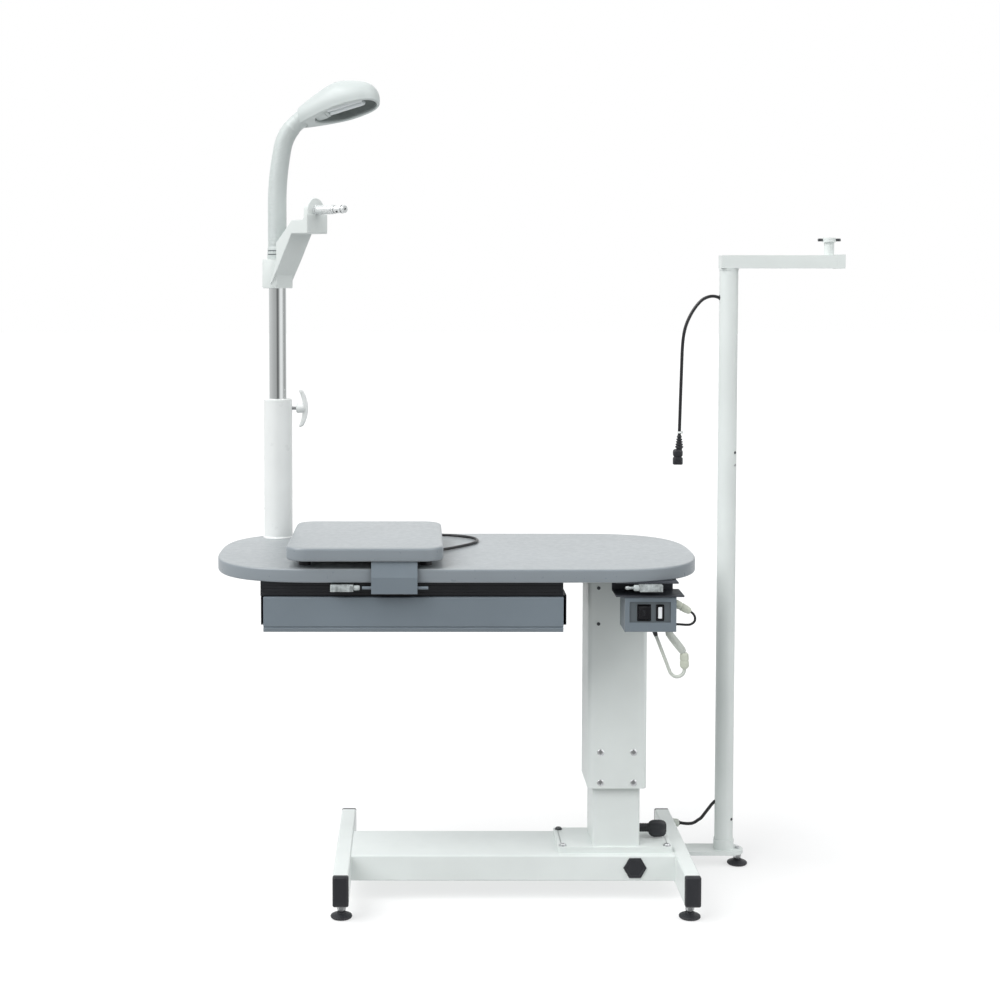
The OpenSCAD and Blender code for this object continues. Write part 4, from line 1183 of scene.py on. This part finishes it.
def lamp_tube():
    """Twin tube with a short link at its end, in a stepped base with two clips."""
    meshes = []
    along = Matrix.Rotation(math.pi / 2, 4, "Y")
    for name, width, depth, start, end, edge in (("base", 18, 34, 35, 60, 1.5), ("ring", 16, 31, 59.8, 66, 1.2)):
        outline = rounded_rectangle(width * MM, depth * MM, 6 * MM, 6)
        meshes.append(slab(name, outline, start * MM, end * MM, edge * MM, along, 4))
    for side in (-1, 1):
        meshes.append(block("clip", mm(46, side * 16.4 - 0.6, -4), mm(57, side * 16.4 + 0.6, 4)))
        meshes.append(capsule("tube", mm(58, side * 9, 0), mm(148, side * 9, 0), 6, 1))
    meshes.append(capsule("link", mm(140.5, -9, 0), mm(140.5, 9, 0), 2.4, 1))
    for mesh in meshes:
        mesh.transform(HEAD)
    return meshes


add("twin_tube", lamp_tube(), "lamp_head", [SAGE, TUBE], "lamp_tube", sharp=45)


# ---- Projector stand ----


def thumb_screws():
    """Two knurled thumb screws in the seat's edge."""
    meshes = []
    centre = middle("post_screws")
    for side in (-1, 1):
        place = aim((side, 0, 0), centre)
        head = [(2.6, 14.6), (3.05, 15.2), (3.05, 23.6), (2.5, 24.4)]
        meshes.append(lathe("head", in_mm(head), place, 108, 0, waves(18, 0.045)))
        meshes.append(lathe("shank", in_mm(((1.8, 9), (1.8, 14.7))), place, 24, 0))
    return meshes


add("thumb_screws", thumb_screws(), "projector_boom", DARK_SCREW_STEEL_AND_GROOVE_SHADE, "post_screws", sharp=40)


# ---- Light and view ----


def soft_sun(name, towards, strength, spread):
    """A very wide sun, which lights the whole object evenly from one side."""
    data = bpy.data.lights.new(name, "SUN")
    data.energy = strength
    data.angle = math.radians(spread)
    light = put_in_scene(name, data)
    light.rotation_euler = Vector(towards).to_track_quat("Z", "Y").to_euler()


def surroundings(fill):
    """A white studio: even fill light, a pure white background, and bright and dark walls in reflections."""
    world = bpy.data.worlds.new("studio")
    world.use_nodes = True
    tree = world.node_tree
    even = set_inputs(tree.nodes["Background"], {"Color": (0.965, 0.99, 1.0, 1), "Strength": fill})
    white = set_inputs(tree.nodes.new("ShaderNodeBackground"), {"Color": (1, 1, 1, 1)})
    # The walls by the way they face, as shares of a full turn that starts and ends behind the object
    coordinates = tree.nodes.new("ShaderNodeTexCoord")
    split = tree.nodes.new("ShaderNodeSeparateXYZ")
    back = tree.nodes.new("ShaderNodeMath")
    back.operation = "MULTIPLY"
    back.inputs[1].default_value = -1
    turn = tree.nodes.new("ShaderNodeMath")
    turn.operation = "ARCTAN2"
    share = set_inputs(tree.nodes.new("ShaderNodeMapRange"), {"From Min": -math.pi, "From Max": math.pi})
    walls = tree.nodes.new("ShaderNodeValToRGB")
    stops = [
        (0.0, 1.1), (0.09, 0.8), (0.23, 0.72), (0.37, 0.55), (0.45, 0.5), (0.5, 0.14), (0.545, 0.3),
        (0.6, 1.0), (0.67, 1.05), (0.75, 0.45), (0.84, 0.5), (0.92, 1.0), (1.0, 1.1),
    ]
    ramp_points = walls.color_ramp.elements
    for k, (position, level) in enumerate(stops):
        point = ramp_points[k] if k < 2 else ramp_points.new(position)
        point.position = position
        point.color = (level, level * 1.01, level * 1.01, 1)
    mirrored = tree.nodes.new("ShaderNodeBackground")
    path = tree.nodes.new("ShaderNodeLightPath")
    first = tree.nodes.new("ShaderNodeMixShader")
    second = tree.nodes.new("ShaderNodeMixShader")
    for source, output, target, entry in (
        (coordinates, "Generated", split, "Vector"),
        (split, "Y", back, 0),
        (split, "X", turn, 0),
        (back, "Value", turn, 1),
        (turn, "Value", share, "Value"),
        (share, "Result", walls, "Fac"),
        (walls, "Color", mirrored, "Color"),
        (path, "Is Glossy Ray", first, "Fac"),
        (even, "Background", first, 1),
        (mirrored, "Background", first, 2),
        (path, "Is Camera Ray", second, "Fac"),
        (first, "Shader", second, 1),
        (white, "Background", second, 2),
        (second, "Shader", tree.nodes["World Output"], "Surface"),
    ):
        tree.links.new(source.outputs[output], target.inputs[entry])
    bpy.context.scene.world = world


def pale_floor():
    """A plain pale floor, bright enough to run into the white background, that only the view sees."""
    material = surface("floor_white", (0.45, 0.45, 0.45), 0.8, grain=60, bump=0.0, variation=0.01)
    shader = material.node_tree.nodes["Principled BSDF"]
    set_inputs(shader, {"Specular IOR Level": 0, "Emission Color": (1, 1, 1, 1), "Emission Strength": 0.56})
    reach, below = 40, -0.4 * MM
    corners = [(x * reach, y * reach, below) for x, y in ((-1, -1), (1, -1), (1, 1), (-1, 1))]
    mesh = to_mesh("floor", corners, [(0, 1, 2, 3)])
    mesh.materials.append(material)
    floor = put_in_scene("floor", mesh)
    floor.visible_diffuse = floor.visible_glossy = False
    floor.visible_transmission = floor.visible_shadow = False


surroundings(0.44)
pale_floor()
soft_sun("key", (-0.60, -0.35, 0.72), 2.75, 50)
soft_sun("right_fill", (0.72, -0.35, 0.60), 1.2, 60)
soft_sun("floor_bounce", (-0.05, -0.32, -0.95), 0.75, 70)
bpy.context.scene.view_settings.view_transform = "Standard"
